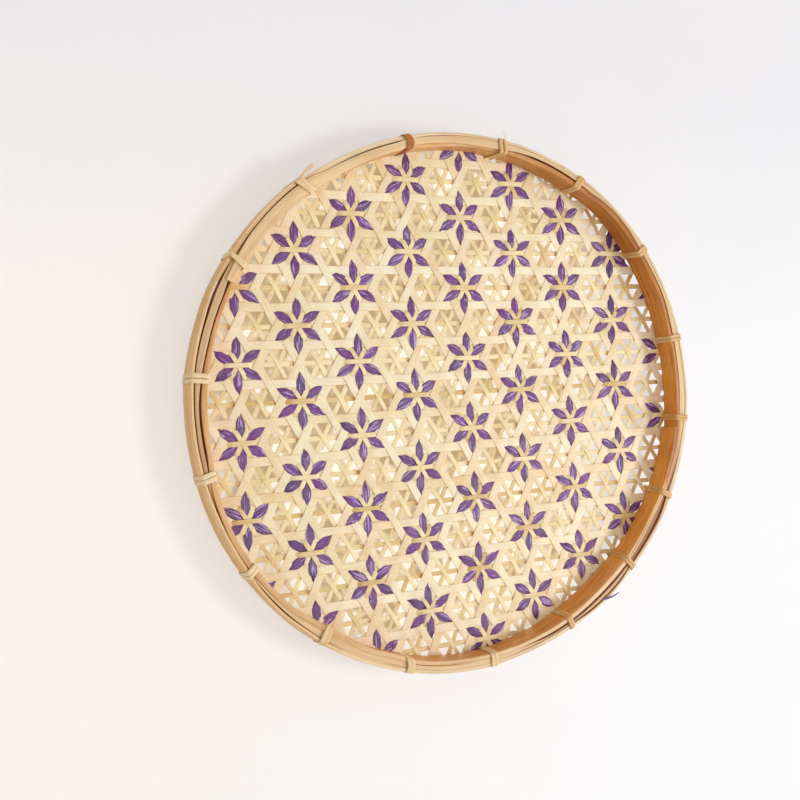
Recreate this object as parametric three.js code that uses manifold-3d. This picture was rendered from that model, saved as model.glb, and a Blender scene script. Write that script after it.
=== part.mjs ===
// Hanging wall basket: a shallow round tray of split bamboo.
//
// Two bamboo hoops clamp the turned-up edge of a mat woven in three directions, with a filler
// strip between the hoops at the front and cane ties bound round the whole rim.
// Millimetres, +Z up, front towards -Y. The wall is the plane y = 0, where the backs of the
// ties touch it. The origin is the place on the wall where a nail through the weave carries
// the top of the mat's border.

import * as THREE from "three";
import { mergeVertices } from "three/addons/utils/BufferGeometryUtils.js";
import Module from "manifold-3d";

const wasm = await Module();
wasm.setup();

// Driving dimensions. Angles are in degrees, anticlockwise from the right, seen from the front.
const HOOP_RADIUS = 175; // mean outside radius of the outer hoop
const HOOP_OVAL = 5.4; // how far the hand-bent hoops stray from that radius, out and in
const OVAL_LEAN = 17.5; // direction of the longest diameter
const RIM_STEPS = 72; // flats round each hoop

const OUTER_HOOP_THICK = 1.8;
const OUTER_LAP_PLY = 1.3; // thickness of each of the two ends where the strip overlaps itself
const OUTER_LAP_START = 129;
const OUTER_LAP_SPAN = 30;

const INNER_HOOP_THICK = 3.4;
const INNER_LAP_START = 183;
const INNER_LAP_SPAN = 30;

const FILLER_THICK = 2.8;
const FILLER_TALL = 6.5;
const FILLER_OUTER_GAP = 1; // between the filler and the outer hoop
const FILLER_INNER_GAP = 0.6; // between the filler and the inner hoop
const FILLER_LAP_START = 104;
const FILLER_LAP_SPAN = 54;

const LAP_GAP = 0.35; // between the two ends of a lapped strip
const LAP_TAPER = 6; // degrees over which a strip thins to its end

const MAT_RECESS = 15.3; // front edge of the rim to the front of the mat
const REAR_LIP = 0.5; // rear of the mat to the rear edge of the outer hoop
const MAT_LAYERS = 9;
const SPLINT_THICK = 0.25; // one layer of the mat
const SPLINT_GAP = 0.1; // between layers
const BORDER_REACH = 3.6; // how far the mat's close border shows inside the inner hoop
const SEAT_GAP = 0.3; // between pieces that bear on each other

const FLOWER_SPACING = 45.45; // centre to centre of neighbouring purple flowers
const FLOWER_X = -29.9; // a flower's place, from the centre of the tray
const FLOWER_Z = 1.9;
const WEAVE_TURN = 3.8; // the weave's level splints, from level
const WIDE_SPLINT = 5.4;
const NARROW_SPLINT = 3.1;
const PURPLE_SPLINT = 5.5;

const TIE_ANGLES = [15, 37, 59, 81, 106, 132, 154, 177, 195, 215, 235, 255, 276, 298, 319, 338, 357];
const TIE_LOOPS = 2;
const CANE_WIDE = 3.3;
const CANE_THICK = 0.8;
const CANE_LOOP_GAP = 0.5; // between one loop of a tie and the next
const TIE_GAP = 0.4; // between the cane and what it binds
const TIE_CORNER = 0.35; // how much of each corner the cane cuts
const TIE_SLOT_ROOM = 0.4; // room round the cane where it passes through the mat's border

// What follows from them: levels along Y and insets from the outside of the rim.
const LAYER_PITCH = SPLINT_THICK + SPLINT_GAP;
const RIM_REAR = -TIE_GAP - CANE_THICK;
const MAT_REAR = RIM_REAR - REAR_LIP;
const MAT_FRONT = MAT_REAR - MAT_LAYERS * LAYER_PITCH + SPLINT_GAP;
const RIM_FRONT = MAT_FRONT - MAT_RECESS;
const HOOP_SPACE = FILLER_OUTER_GAP + FILLER_THICK + FILLER_INNER_GAP;
const INNER_HOOP_OUTSIDE = OUTER_HOOP_THICK + HOOP_SPACE;
const RIM_THICK = INNER_HOOP_OUTSIDE + INNER_HOOP_THICK;
const INNER_HOOP_REAR = MAT_FRONT - SEAT_GAP;
const FILLER_OUTSIDE = OUTER_HOOP_THICK + FILLER_OUTER_GAP;
const FILLER_INSIDE = FILLER_OUTSIDE + FILLER_THICK;
const FILLER_REAR = RIM_FRONT + FILLER_TALL;
const UPTURN_OUTSIDE = OUTER_HOOP_THICK + SEAT_GAP;
const UPTURN_INSIDE = INNER_HOOP_OUTSIDE - SEAT_GAP;
const UPTURN_FRONT = FILLER_REAR + SEAT_GAP;
const UPTURN_REAR = MAT_FRONT - SEAT_GAP;
const MAT_OUTSIDE = OUTER_HOOP_THICK + SEAT_GAP;
const BORDER_INSIDE = RIM_THICK + BORDER_REACH;
const OUTER_LAP_RISE = 2 * OUTER_LAP_PLY + LAP_GAP - OUTER_HOOP_THICK;
const FILLER_LAP_PLY = (FILLER_THICK - LAP_GAP) / 2;
const INNER_LAP_PLY = (INNER_HOOP_THICK - LAP_GAP) / 2;
const CANE_PITCH = CANE_WIDE + CANE_LOOP_GAP;
const TIE_END = RIM_REAR - REAR_LIP / 2;

const SAME_ANGLE = 1e-6;
const SAME_PLACE = 1e-4;
const FULL_TURN = 360;
const QUARTER_TURN = 90;
const THIRD_TURN = 60;

const radians = (degrees) => THREE.MathUtils.degToRad(degrees);

// Finishes.
const finish = (color, roughness) => new THREE.MeshStandardMaterial({ color, roughness, metalness: 0 });
const HOOP_BAMBOO = finish(0xc9975a, 0.45);
const INNER_BAMBOO = finish(0xb9793c, 0.42);
const FILLER_BAMBOO = finish(0xdcbd86, 0.5);
const EDGE_SPLINT = finish(0xb98a4a, 0.6);
const WIDE_BAMBOO = finish(0xeed9a8, 0.5);
const NARROW_BAMBOO = finish(0xe6cf93, 0.5);
const PURPLE_BAMBOO = finish(0x5f3a86, 0.45);
const CANE = finish(0xd9b06f, 0.5);

// Radius of the rim's outside at an angle: a circle pressed slightly oval.
function rimRadius(angle) {
  return HOOP_RADIUS + HOOP_OVAL * Math.cos(2 * radians(angle - OVAL_LEAN));
}

// Point of the tray's plane at an angle and an inset from the outside of the rim.
function rimPoint(angle, inset) {
  const radius = rimRadius(angle) - inset;
  return new THREE.Vector2(radius * Math.cos(radians(angle)), radius * Math.sin(radians(angle)));
}

// Closed outline at one inset.
function ringPoints(inset) {
  const points = [];
  for (let step = 0; step < RIM_STEPS; step += 1) {
    points.push(rimPoint((step * FULL_TURN) / RIM_STEPS, inset));
  }
  return points;
}

// A flat outline of the tray's plane given depth, from y = rear forwards to y = front.
function plate(shape, front, rear) {
  const geometry = new THREE.ExtrudeGeometry(shape, { depth: rear - front, bevelEnabled: false });
  geometry.rotateX(radians(QUARTER_TURN));
  geometry.translate(0, rear, 0);
  return geometry;
}

// A full ring between two insets.
function ring(outside, inside, front, rear) {
  const shape = new THREE.Shape(ringPoints(outside));
  shape.holes.push(new THREE.Path(ringPoints(inside)));
  return plate(shape, front, rear);
}

// Share of a taper that has passed, from 0 to 1 with soft ends.
const ease = (share) => THREE.MathUtils.smoothstep(share, 0, 1);

// A strip bent to a hoop whose two ends overlap. It starts as the outer ply of the lap, comes
// to its full section after a taper, goes once round and tapers again to the inner ply.
function lappedHoop({ outside, inside, ply, rise, lapStart, lapSpan, front, rear }) {
  const stepAngle = FULL_TURN / RIM_STEPS;
  const lapEnd = lapStart + lapSpan;
  const last = lapEnd + FULL_TURN;
  const angles = [lapStart];
  const grow = lapEnd + LAP_TAPER;
  const shrink = lapStart + FULL_TURN - LAP_TAPER;
  for (let at = Math.ceil(lapStart / stepAngle) * stepAngle; at < last; at += stepAngle) {
    if (at > lapStart) angles.push(at);
  }
  angles.push(lapEnd, grow, shrink, lapStart + FULL_TURN, last);
  angles.sort((a, b) => a - b);
  const apart = angles.filter((angle, i) => i === 0 || angle - angles[i - 1] > SAME_ANGLE);
  const outerFace = (angle) => {
    const whole = outside - rise * (1 - ease((angle - lapEnd) / LAP_TAPER));
    const laid = inside - ply;
    return THREE.MathUtils.lerp(whole, laid, ease((angle - shrink) / LAP_TAPER));
  };
  const innerFace = (angle) => {
    return THREE.MathUtils.lerp(outside - rise + ply, inside, ease((angle - lapEnd) / LAP_TAPER));
  };
  const outline = apart.map((angle) => rimPoint(angle, outerFace(angle)));
  const back = apart.map((angle) => rimPoint(angle, innerFace(angle))).reverse();
  return plate(new THREE.Shape([...outline, ...back]), front, rear);
}

// Solid of a closed geometry, ready to be joined and cut.
function solidOf(geometry) {
  const bare = geometry.clone();
  bare.deleteAttribute("normal");
  bare.deleteAttribute("uv");
  const merged = mergeVertices(bare, SAME_PLACE);
  const mesh = new wasm.Mesh({
    numProp: 3,
    vertProperties: merged.attributes.position.array,
    triVerts: new Uint32Array(merged.index.array),
  });
  return new wasm.Manifold(mesh);
}

// Geometry of a solid.
function geometryOf(solid) {
  const mesh = solid.getMesh();
  const geometry = new THREE.BufferGeometry();
  geometry.setAttribute("position", new THREE.BufferAttribute(new Float32Array(mesh.vertProperties), 3));
  geometry.setIndex(new THREE.BufferAttribute(new Uint32Array(mesh.triVerts), 1));
  geometry.computeVertexNormals();
  return geometry;
}

// Rim frame at an angle: a place on the outside of the rim and the direction it faces there.
function rimFrame(angle) {
  const small = 0.5;
  const along = rimPoint(angle + small, 0).sub(rimPoint(angle - small, 0));
  return { place: rimPoint(angle, 0), facing: Math.atan2(along.y, along.x) - radians(QUARTER_TURN) };
}

// How far the outer hoop's lap stands out of the rim where a tie crosses it.
function lapRise(angle) {
  const past = (angle - OUTER_LAP_START + FULL_TURN) % FULL_TURN;
  return past < OUTER_LAP_SPAN + LAP_TAPER ? OUTER_LAP_RISE : 0;
}

// Room for the ties through the mat's border, one slot beside the inner hoop for each tie.
function tieSlots(front, rear) {
  const radial = CANE_THICK + TIE_GAP + TIE_SLOT_ROOM;
  const across = CANE_WIDE + CANE_PITCH * (TIE_LOOPS - 1) + 2 * TIE_SLOT_ROOM;
  const slots = TIE_ANGLES.map((angle) => {
    const { place, facing } = rimFrame(angle);
    const box = new THREE.BoxGeometry(radial, rear - front, across);
    box.translate(-RIM_THICK - radial / 2, 0, 0);
    box.rotateY(-facing);
    box.translate(place.x, (front + rear) / 2, place.y);
    return solidOf(box);
  });
  return wasm.Manifold.union(slots);
}

// One layer of the mat: parallel splints joined by the layer's share of the close border.
// The splints run at the given direction, with one of them at the given offset from a flower.
function matLayer({ direction, spacing, offset, width }, level) {
  const front = MAT_FRONT + level * LAYER_PITCH;
  const rear = front + SPLINT_THICK;
  const middle = (front + rear) / 2;
  const turn = radians(direction + WEAVE_TURN);
  const flower = -FLOWER_X * Math.sin(turn) + FLOWER_Z * Math.cos(turn);
  const reach = HOOP_RADIUS + HOOP_OVAL;
  const splints = [];
  const first = Math.ceil((-reach - flower - offset) / spacing);
  for (let at = first; at * spacing + offset + flower < reach; at += 1) {
    const box = new THREE.BoxGeometry(2 * reach, SPLINT_THICK, width);
    box.translate(0, middle, at * spacing + offset + flower);
    box.rotateY(-turn);
    splints.push(solidOf(box));
  }
  const halfway = (MAT_OUTSIDE + BORDER_INSIDE) / 2;
  const disc = solidOf(plate(new THREE.Shape(ringPoints(halfway)), front, rear));
  const border = solidOf(ring(MAT_OUTSIDE, BORDER_INSIDE, front, rear));
  const slots = tieSlots(front - SPLINT_GAP, rear + SPLINT_GAP);
  return geometryOf(wasm.Manifold.union(splints).intersect(disc).add(border).subtract(slots));
}

// Path of a tie round the rim's section, in the rim frame: x outwards, y rearwards, z along
// the rim. Each corner has two stations, and the crossing behind the rim moves to the next loop.
function tieStations(rise) {
  const slant = Math.tan(radians(QUARTER_TURN / 4));
  const left = -RIM_THICK - TIE_GAP;
  const right = rise + TIE_GAP;
  const front = RIM_FRONT - TIE_GAP;
  const rear = RIM_REAR + TIE_GAP;
  const corners = [
    { x: left, y: front, before: [-1, 0], after: [0, -1] },
    { x: right, y: front, before: [0, -1], after: [1, 0] },
    { x: right, y: rear, before: [1, 0], after: [0, 1] },
    { x: left, y: rear, before: [0, 1], after: [-1, 0] },
  ];
  const station = (x, y, normal, lean, z) => ({
    near: [x, y],
    far: [x + CANE_THICK * (normal[0] + slant * lean[0]), y + CANE_THICK * (normal[1] + slant * lean[1])],
    z,
  });
  const none = [0, 0];
  const start = -((TIE_LOOPS - 1) * CANE_PITCH) / 2;
  const stations = [station(left, TIE_END, [-1, 0], none, start)];
  for (let loop = 0; loop < TIE_LOOPS; loop += 1) {
    const z = start + loop * CANE_PITCH;
    const count = loop === TIE_LOOPS - 1 ? 2 : corners.length;
    for (let i = 0; i < count; i += 1) {
      const { x, y, before, after } = corners[i];
      const shift = i === corners.length - 1 ? CANE_PITCH : 0;
      const cut = TIE_CORNER;
      stations.push(station(x - cut * after[0], y - cut * after[1], before, after, z + shift));
      stations.push(station(x - cut * before[0], y - cut * before[1], after, before, z + shift));
    }
  }
  stations.push(station(right, TIE_END, [1, 0], none, start + (TIE_LOOPS - 1) * CANE_PITCH));
  return stations;
}

// Four corners of the cane's section at a station.
function caneSection({ near, far, z }) {
  const half = CANE_WIDE / 2;
  return [
    new THREE.Vector3(near[0], near[1], z - half),
    new THREE.Vector3(near[0], near[1], z + half),
    new THREE.Vector3(far[0], far[1], z + half),
    new THREE.Vector3(far[0], far[1], z - half),
  ];
}

// Flat cane along its stations, closed at both ends.
function caneGeometry(stations) {
  const corners = stations.flatMap(caneSection);
  const faces = [];
  const sides = 4;
  for (let s = 0; s < stations.length - 1; s += 1) {
    for (let i = 0; i < sides; i += 1) {
      const a = s * sides + i;
      const b = s * sides + ((i + 1) % sides);
      faces.push(a, b, a + sides, b, b + sides, a + sides);
    }
  }
  const end = (stations.length - 1) * sides;
  faces.push(0, 2, 1, 0, 3, 2, end, end + 1, end + 2, end, end + 2, end + 3);
  const geometry = new THREE.BufferGeometry().setFromPoints(corners);
  geometry.setIndex(faces);
  geometry.computeVertexNormals();
  return geometry;
}

// Least gap between the loops of a tie, on points along both edges and both faces of the cane.
function tieSelfGap(stations) {
  const perLeg = 12;
  const points = [];
  for (let s = 0; s < stations.length - 1; s += 1) {
    const from = caneSection(stations[s]);
    const to = caneSection(stations[s + 1]);
    for (let k = 0; k <= perLeg; k += 1) {
      for (let i = 0; i < from.length; i += 1) {
        points.push({ station: s, point: from[i].clone().lerp(to[i], k / perLeg) });
      }
    }
  }
  const nextTrack = 4;
  let least = Infinity;
  for (const one of points) {
    for (const other of points) {
      if (other.station - one.station < nextTrack) continue;
      least = Math.min(least, one.point.distanceTo(other.point));
    }
  }
  return least;
}

function named(name, geometry, material) {
  const mesh = new THREE.Mesh(geometry, material);
  mesh.name = name;
  return mesh;
}

function group(...children) {
  const made = new THREE.Group();
  made.add(...children);
  return made;
}

// Rim: the outer hoop, the filler strip, the inner hoop and the trapped ends of the splints.
function rim() {
  const outerHoop = lappedHoop({
    outside: 0,
    inside: OUTER_HOOP_THICK,
    ply: OUTER_LAP_PLY,
    rise: OUTER_LAP_RISE,
    lapStart: OUTER_LAP_START,
    lapSpan: OUTER_LAP_SPAN,
    front: RIM_FRONT,
    rear: RIM_REAR,
  });
  const filler = lappedHoop({
    outside: FILLER_OUTSIDE,
    inside: FILLER_INSIDE,
    ply: FILLER_LAP_PLY,
    rise: 0,
    lapStart: FILLER_LAP_START,
    lapSpan: FILLER_LAP_SPAN,
    front: RIM_FRONT,
    rear: FILLER_REAR,
  });
  const innerHoop = lappedHoop({
    outside: INNER_HOOP_OUTSIDE,
    inside: RIM_THICK,
    ply: INNER_LAP_PLY,
    rise: 0,
    lapStart: INNER_LAP_START,
    lapSpan: INNER_LAP_SPAN,
    front: RIM_FRONT,
    rear: INNER_HOOP_REAR,
  });
  const splintEnds = ring(UPTURN_OUTSIDE, UPTURN_INSIDE, UPTURN_FRONT, UPTURN_REAR);
  return group(
    named("outer_hoop", outerHoop, HOOP_BAMBOO),
    named("filler_strip", filler, FILLER_BAMBOO),
    named("inner_hoop", innerHoop, INNER_BAMBOO),
    named("turned_up_splint_ends", splintEnds, EDGE_SPLINT),
  );
}

// Mat: wide, narrow and purple splints, each in three directions, stacked front to rear.
function mat() {
  const half = FLOWER_SPACING / 2;
  const purpleSpacing = FLOWER_SPACING * Math.cos(radians(THIRD_TURN / 2));
  const wide = { spacing: half, offset: half / 2, width: WIDE_SPLINT };
  const narrow = { spacing: half, offset: 0, width: NARROW_SPLINT };
  const purple = { spacing: purpleSpacing, offset: 0, width: PURPLE_SPLINT };
  const layers = [
    ["wide_splints_level", { ...wide, direction: 0 }, WIDE_BAMBOO],
    ["wide_splints_rising", { ...wide, direction: THIRD_TURN }, WIDE_BAMBOO],
    ["wide_splints_falling", { ...wide, direction: 2 * THIRD_TURN }, WIDE_BAMBOO],
    ["narrow_splints_level", { ...narrow, direction: 0 }, NARROW_BAMBOO],
    ["narrow_splints_rising", { ...narrow, direction: THIRD_TURN }, NARROW_BAMBOO],
    ["narrow_splints_falling", { ...narrow, direction: 2 * THIRD_TURN }, NARROW_BAMBOO],
    ["purple_splints_upright", { ...purple, direction: QUARTER_TURN }, PURPLE_BAMBOO],
    ["purple_splints_rising", { ...purple, direction: THIRD_TURN / 2 }, PURPLE_BAMBOO],
    ["purple_splints_falling", { ...purple, direction: QUARTER_TURN + THIRD_TURN }, PURPLE_BAMBOO],
  ];
  return group(...layers.map(([name, run, material], level) => named(name, matLayer(run, level), material)));
}

// Ties: one for each angle, numbered anticlockwise from the right.
function ties() {
  const made = TIE_ANGLES.map((angle, i) => {
    const { place, facing } = rimFrame(angle);
    const geometry = caneGeometry(tieStations(lapRise(angle)));
    const tie = named(`tie_${String(i + 1).padStart(2, "0")}`, geometry, CANE);
    tie.position.set(place.x, 0, place.y);
    tie.rotation.y = -facing;
    return tie;
  });
  return group(...made);
}

const selfGap = tieSelfGap(tieStations(0));
console.log(`least gap between the loops of a tie: ${selfGap.toFixed(2)} mm`);

// The tray hangs below the origin by its border's inside radius at the top.
const tray = group(rim(), mat(), ties());
tray.position.z = -(rimRadius(QUARTER_TURN) - BORDER_INSIDE);

export default group(tray);
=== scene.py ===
import logging
import math
from collections.abc import Iterator
from dataclasses import dataclass, field
from enum import Enum

import bpy
import numpy as np
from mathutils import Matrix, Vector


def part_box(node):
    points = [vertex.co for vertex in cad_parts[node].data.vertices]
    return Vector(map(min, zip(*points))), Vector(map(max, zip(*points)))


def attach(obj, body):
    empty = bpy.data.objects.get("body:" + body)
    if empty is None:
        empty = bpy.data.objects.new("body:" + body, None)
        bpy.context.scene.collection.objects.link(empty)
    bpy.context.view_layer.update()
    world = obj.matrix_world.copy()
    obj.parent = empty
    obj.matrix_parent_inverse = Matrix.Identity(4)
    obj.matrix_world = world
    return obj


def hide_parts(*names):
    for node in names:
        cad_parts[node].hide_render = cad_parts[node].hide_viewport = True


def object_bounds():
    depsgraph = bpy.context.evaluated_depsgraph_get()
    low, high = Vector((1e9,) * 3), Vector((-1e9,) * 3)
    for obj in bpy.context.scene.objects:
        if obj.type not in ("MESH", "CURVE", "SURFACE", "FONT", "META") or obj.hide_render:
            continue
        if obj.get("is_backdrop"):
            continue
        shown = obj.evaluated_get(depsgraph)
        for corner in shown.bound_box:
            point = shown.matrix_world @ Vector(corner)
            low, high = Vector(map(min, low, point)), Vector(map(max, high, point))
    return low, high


# The looks of a hanging wall basket: a shallow round tray of split bamboo. Its mat is an open star
# weave of pale splints with purple splints that show as flowers. The mat is clamped between an inner
# and an outer hoop with a filler strip between them, and seventeen cane ties bind the rim.
# Lengths in the classes are millimetres and angles are degrees. A mesh is in metres.

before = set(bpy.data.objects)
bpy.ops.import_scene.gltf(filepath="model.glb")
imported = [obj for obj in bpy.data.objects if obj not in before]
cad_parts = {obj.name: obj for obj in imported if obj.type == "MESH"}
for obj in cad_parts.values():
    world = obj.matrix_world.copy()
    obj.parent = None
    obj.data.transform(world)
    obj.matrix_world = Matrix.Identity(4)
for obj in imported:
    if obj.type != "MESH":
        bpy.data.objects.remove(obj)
CAD_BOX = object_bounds()
MM = 0.001
log = logging.getLogger("wall_basket")

Array, Draws = np.ndarray, np.random.Generator
Material, NodeTree, Socket = bpy.types.Material, bpy.types.NodeTree, bpy.types.NodeSocket
Sockets = bpy.types.bpy_prop_collection
Pair = tuple[float, float]
Triple = tuple[float, float, float]
Colour = tuple[float, float, float, float]

# A ripple's sines: how many there are, the range of their lengths in wavelengths, and the gain that
# brings their mean to about 1.
RIPPLE_SINES = 3
RIPPLE_LENGTHS = (0.6, 1.5)
RIPPLE_GAIN = 1.4


def ease(x: Array) -> Array:
    """Three x squared less two x cubed, with x held between 0 and 1."""
    x = np.clip(x, 0.0, 1.0)
    return x * x * (3.0 - 2.0 * x)


def ramp(x: Array, start: float, width: float) -> Array:
    """A smooth step from 0 at start to 1 at start plus width, which may be negative."""
    return ease((x - start) / width)


def hill(x: Array, half: float) -> Array:
    """A smooth hill that is 1 at x = 0 and 0 from half outwards."""
    return ease(1.0 - np.abs(x) / half)


def turn_from(angle: Array, start: float) -> Array:
    """The signed angle from start to angle, between -180 and 180 degrees."""
    return (angle - start + 180.0) % 360.0 - 180.0


def colour(hex_code: str) -> Colour:
    """Turns a colour as it shows on a screen into a linear one, by the sRGB curve.

    Args:
        hex_code: The colour, such as "f5e1b4".

    Returns:
        Red, green, blue and an alpha of 1.
    """
    parts = [int(hex_code[i:i + 2], 16) / 255.0 for i in (0, 2, 4)]
    linear = [c / 12.92 if c <= 0.04045 else ((c + 0.055) / 1.055) ** 2.4 for c in parts]
    return (*linear, 1.0)


def ripple(x: Array, rng: Draws, wavelength: float, size: float = 1.0) -> Array:
    """An uneven wave: the mean of a few sines with seeded lengths and starts.

    Args:
        x: Distances along the piece.
        rng: Source of the lengths and starts.
        wavelength: The mean length of a wave, in the units of x.
        size: About how far the wave goes either side of 0.

    Returns:
        The wave's height at each x.
    """
    lengths = wavelength * rng.uniform(*RIPPLE_LENGTHS, RIPPLE_SINES)
    starts = rng.uniform(0.0, 2.0 * np.pi, RIPPLE_SINES)
    turns = 2.0 * np.pi * np.asarray(x)[..., None] / lengths + starts
    return size * (np.sin(turns).mean(axis=-1) * RIPPLE_GAIN)


@dataclass(frozen=True)
class Knots:
    """A value that changes round the rim, carried smoothly through (angle, value) pairs."""

    pairs: tuple[Pair, ...]

    def at(self, angle: Array) -> Array:
        """Finds the value at each angle.

        Between two pairs the value follows a cubic with a given slope at each end. The slope at a pair is
        the harmonic mean of the straight slopes on its two sides, or 0 where they differ in sign, so the
        curve never swings past its pairs.

        Args:
            angle: Angles round the rim.

        Returns:
            The value at each angle.
        """
        places, values = (np.array(column, dtype=float) for column in zip(*self.pairs))
        places = np.concatenate([places[-2:] - 360.0, places, places[:2] + 360.0])
        values = np.concatenate([values[-2:], values, values[:2]])
        straight = np.diff(values) / np.diff(places)
        both, total = straight[:-1] * straight[1:], straight[:-1] + straight[1:]
        slope = np.divide(2.0 * both, total, out=np.zeros_like(both), where=both > 0.0)
        slope = np.concatenate([[0.0], slope, [0.0]])
        wrapped = np.asarray(angle, dtype=float) % 360.0
        left = np.clip(np.searchsorted(places, wrapped, side="right") - 1, 1, len(places) - 3)
        width = places[left + 1] - places[left]
        t = (wrapped - places[left]) / width
        level = values[left] + (values[left + 1] - values[left]) * t * t * (3.0 - 2.0 * t)
        sloped = (t - 2.0 * t ** 2 + t ** 3) * slope[left] + (t ** 3 - t ** 2) * slope[left + 1]
        return level + width * sloped


@dataclass(frozen=True)
class Tray:
    """The oval that everything is set out from, and the levels that the CAD frame gives.

    A place on the rim is an angle from level right, counter-clockwise from the front, an inset from the
    rim's outside, and a depth y, which is 0 on the wall and grows negative towards the viewer.
    """

    mean_radius: float = 175.0
    oval: float = 5.4
    lean: float = 17.5
    nail_inset: float = 13.2
    front: float = -20.05
    rear: float = -1.2
    inner_rear: float = -5.05
    filler_rear: float = -13.55
    mat_rise: float = 0.675

    def radius(self, angle: Array) -> Array:
        """The rim's outside: the mean radius plus a cosine of twice the angle from the long diameter."""
        return self.mean_radius + self.oval * np.cos(np.radians(2.0 * (angle - self.lean)))

    @property
    def centre_z(self) -> float:
        """The height of the tray's centre, which is negative, because it is under the nail."""
        return -(float(self.radius(90.0)) - self.nail_inset)

    @property
    def mat_level(self) -> float:
        """The depth of the mat's middle plane, a little behind the rear edge of the inner hoop."""
        return self.inner_rear + self.mat_rise

    def point(self, angle: Array, inset: Array, y: Array) -> Array:
        """Gives places on the rim as x, y and z: the radius less the inset, turned by the angle.

        Args:
            angle: Angle of each place.
            inset: How far it is in from the rim's outside.
            y: Its depth.

        Returns:
            The places, with x, y and z along the last axis.
        """
        reach = self.radius(angle) - inset
        turned = np.radians(angle)
        parts = np.broadcast_arrays(reach * np.cos(turned), y, self.centre_z + reach * np.sin(turned))
        return np.stack(parts, axis=-1)


def tray_from_frame() -> Tray:
    """Reads the rim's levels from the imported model's own boxes."""
    outer, inner, filler = (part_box(n) for n in ("outer_hoop", "inner_hoop", "filler_strip"))
    return Tray(
        front=outer[0].y / MM, rear=outer[1].y / MM, inner_rear=inner[1].y / MM, filler_rear=filler[1].y / MM
    )


# What a strand's points carry for its finish: its own tone; the painted shade deep in a gap; how
# much face colour it takes, the inner hoop's own inside and painted light and shade on the hoops; how
# near a bamboo joint or stain is, together with painted shade on the inner hoop and where narrow
# splints dip; and how near the strand's edge is.
MASKS = ("tone", "gap", "face", "node", "edge")


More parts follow.
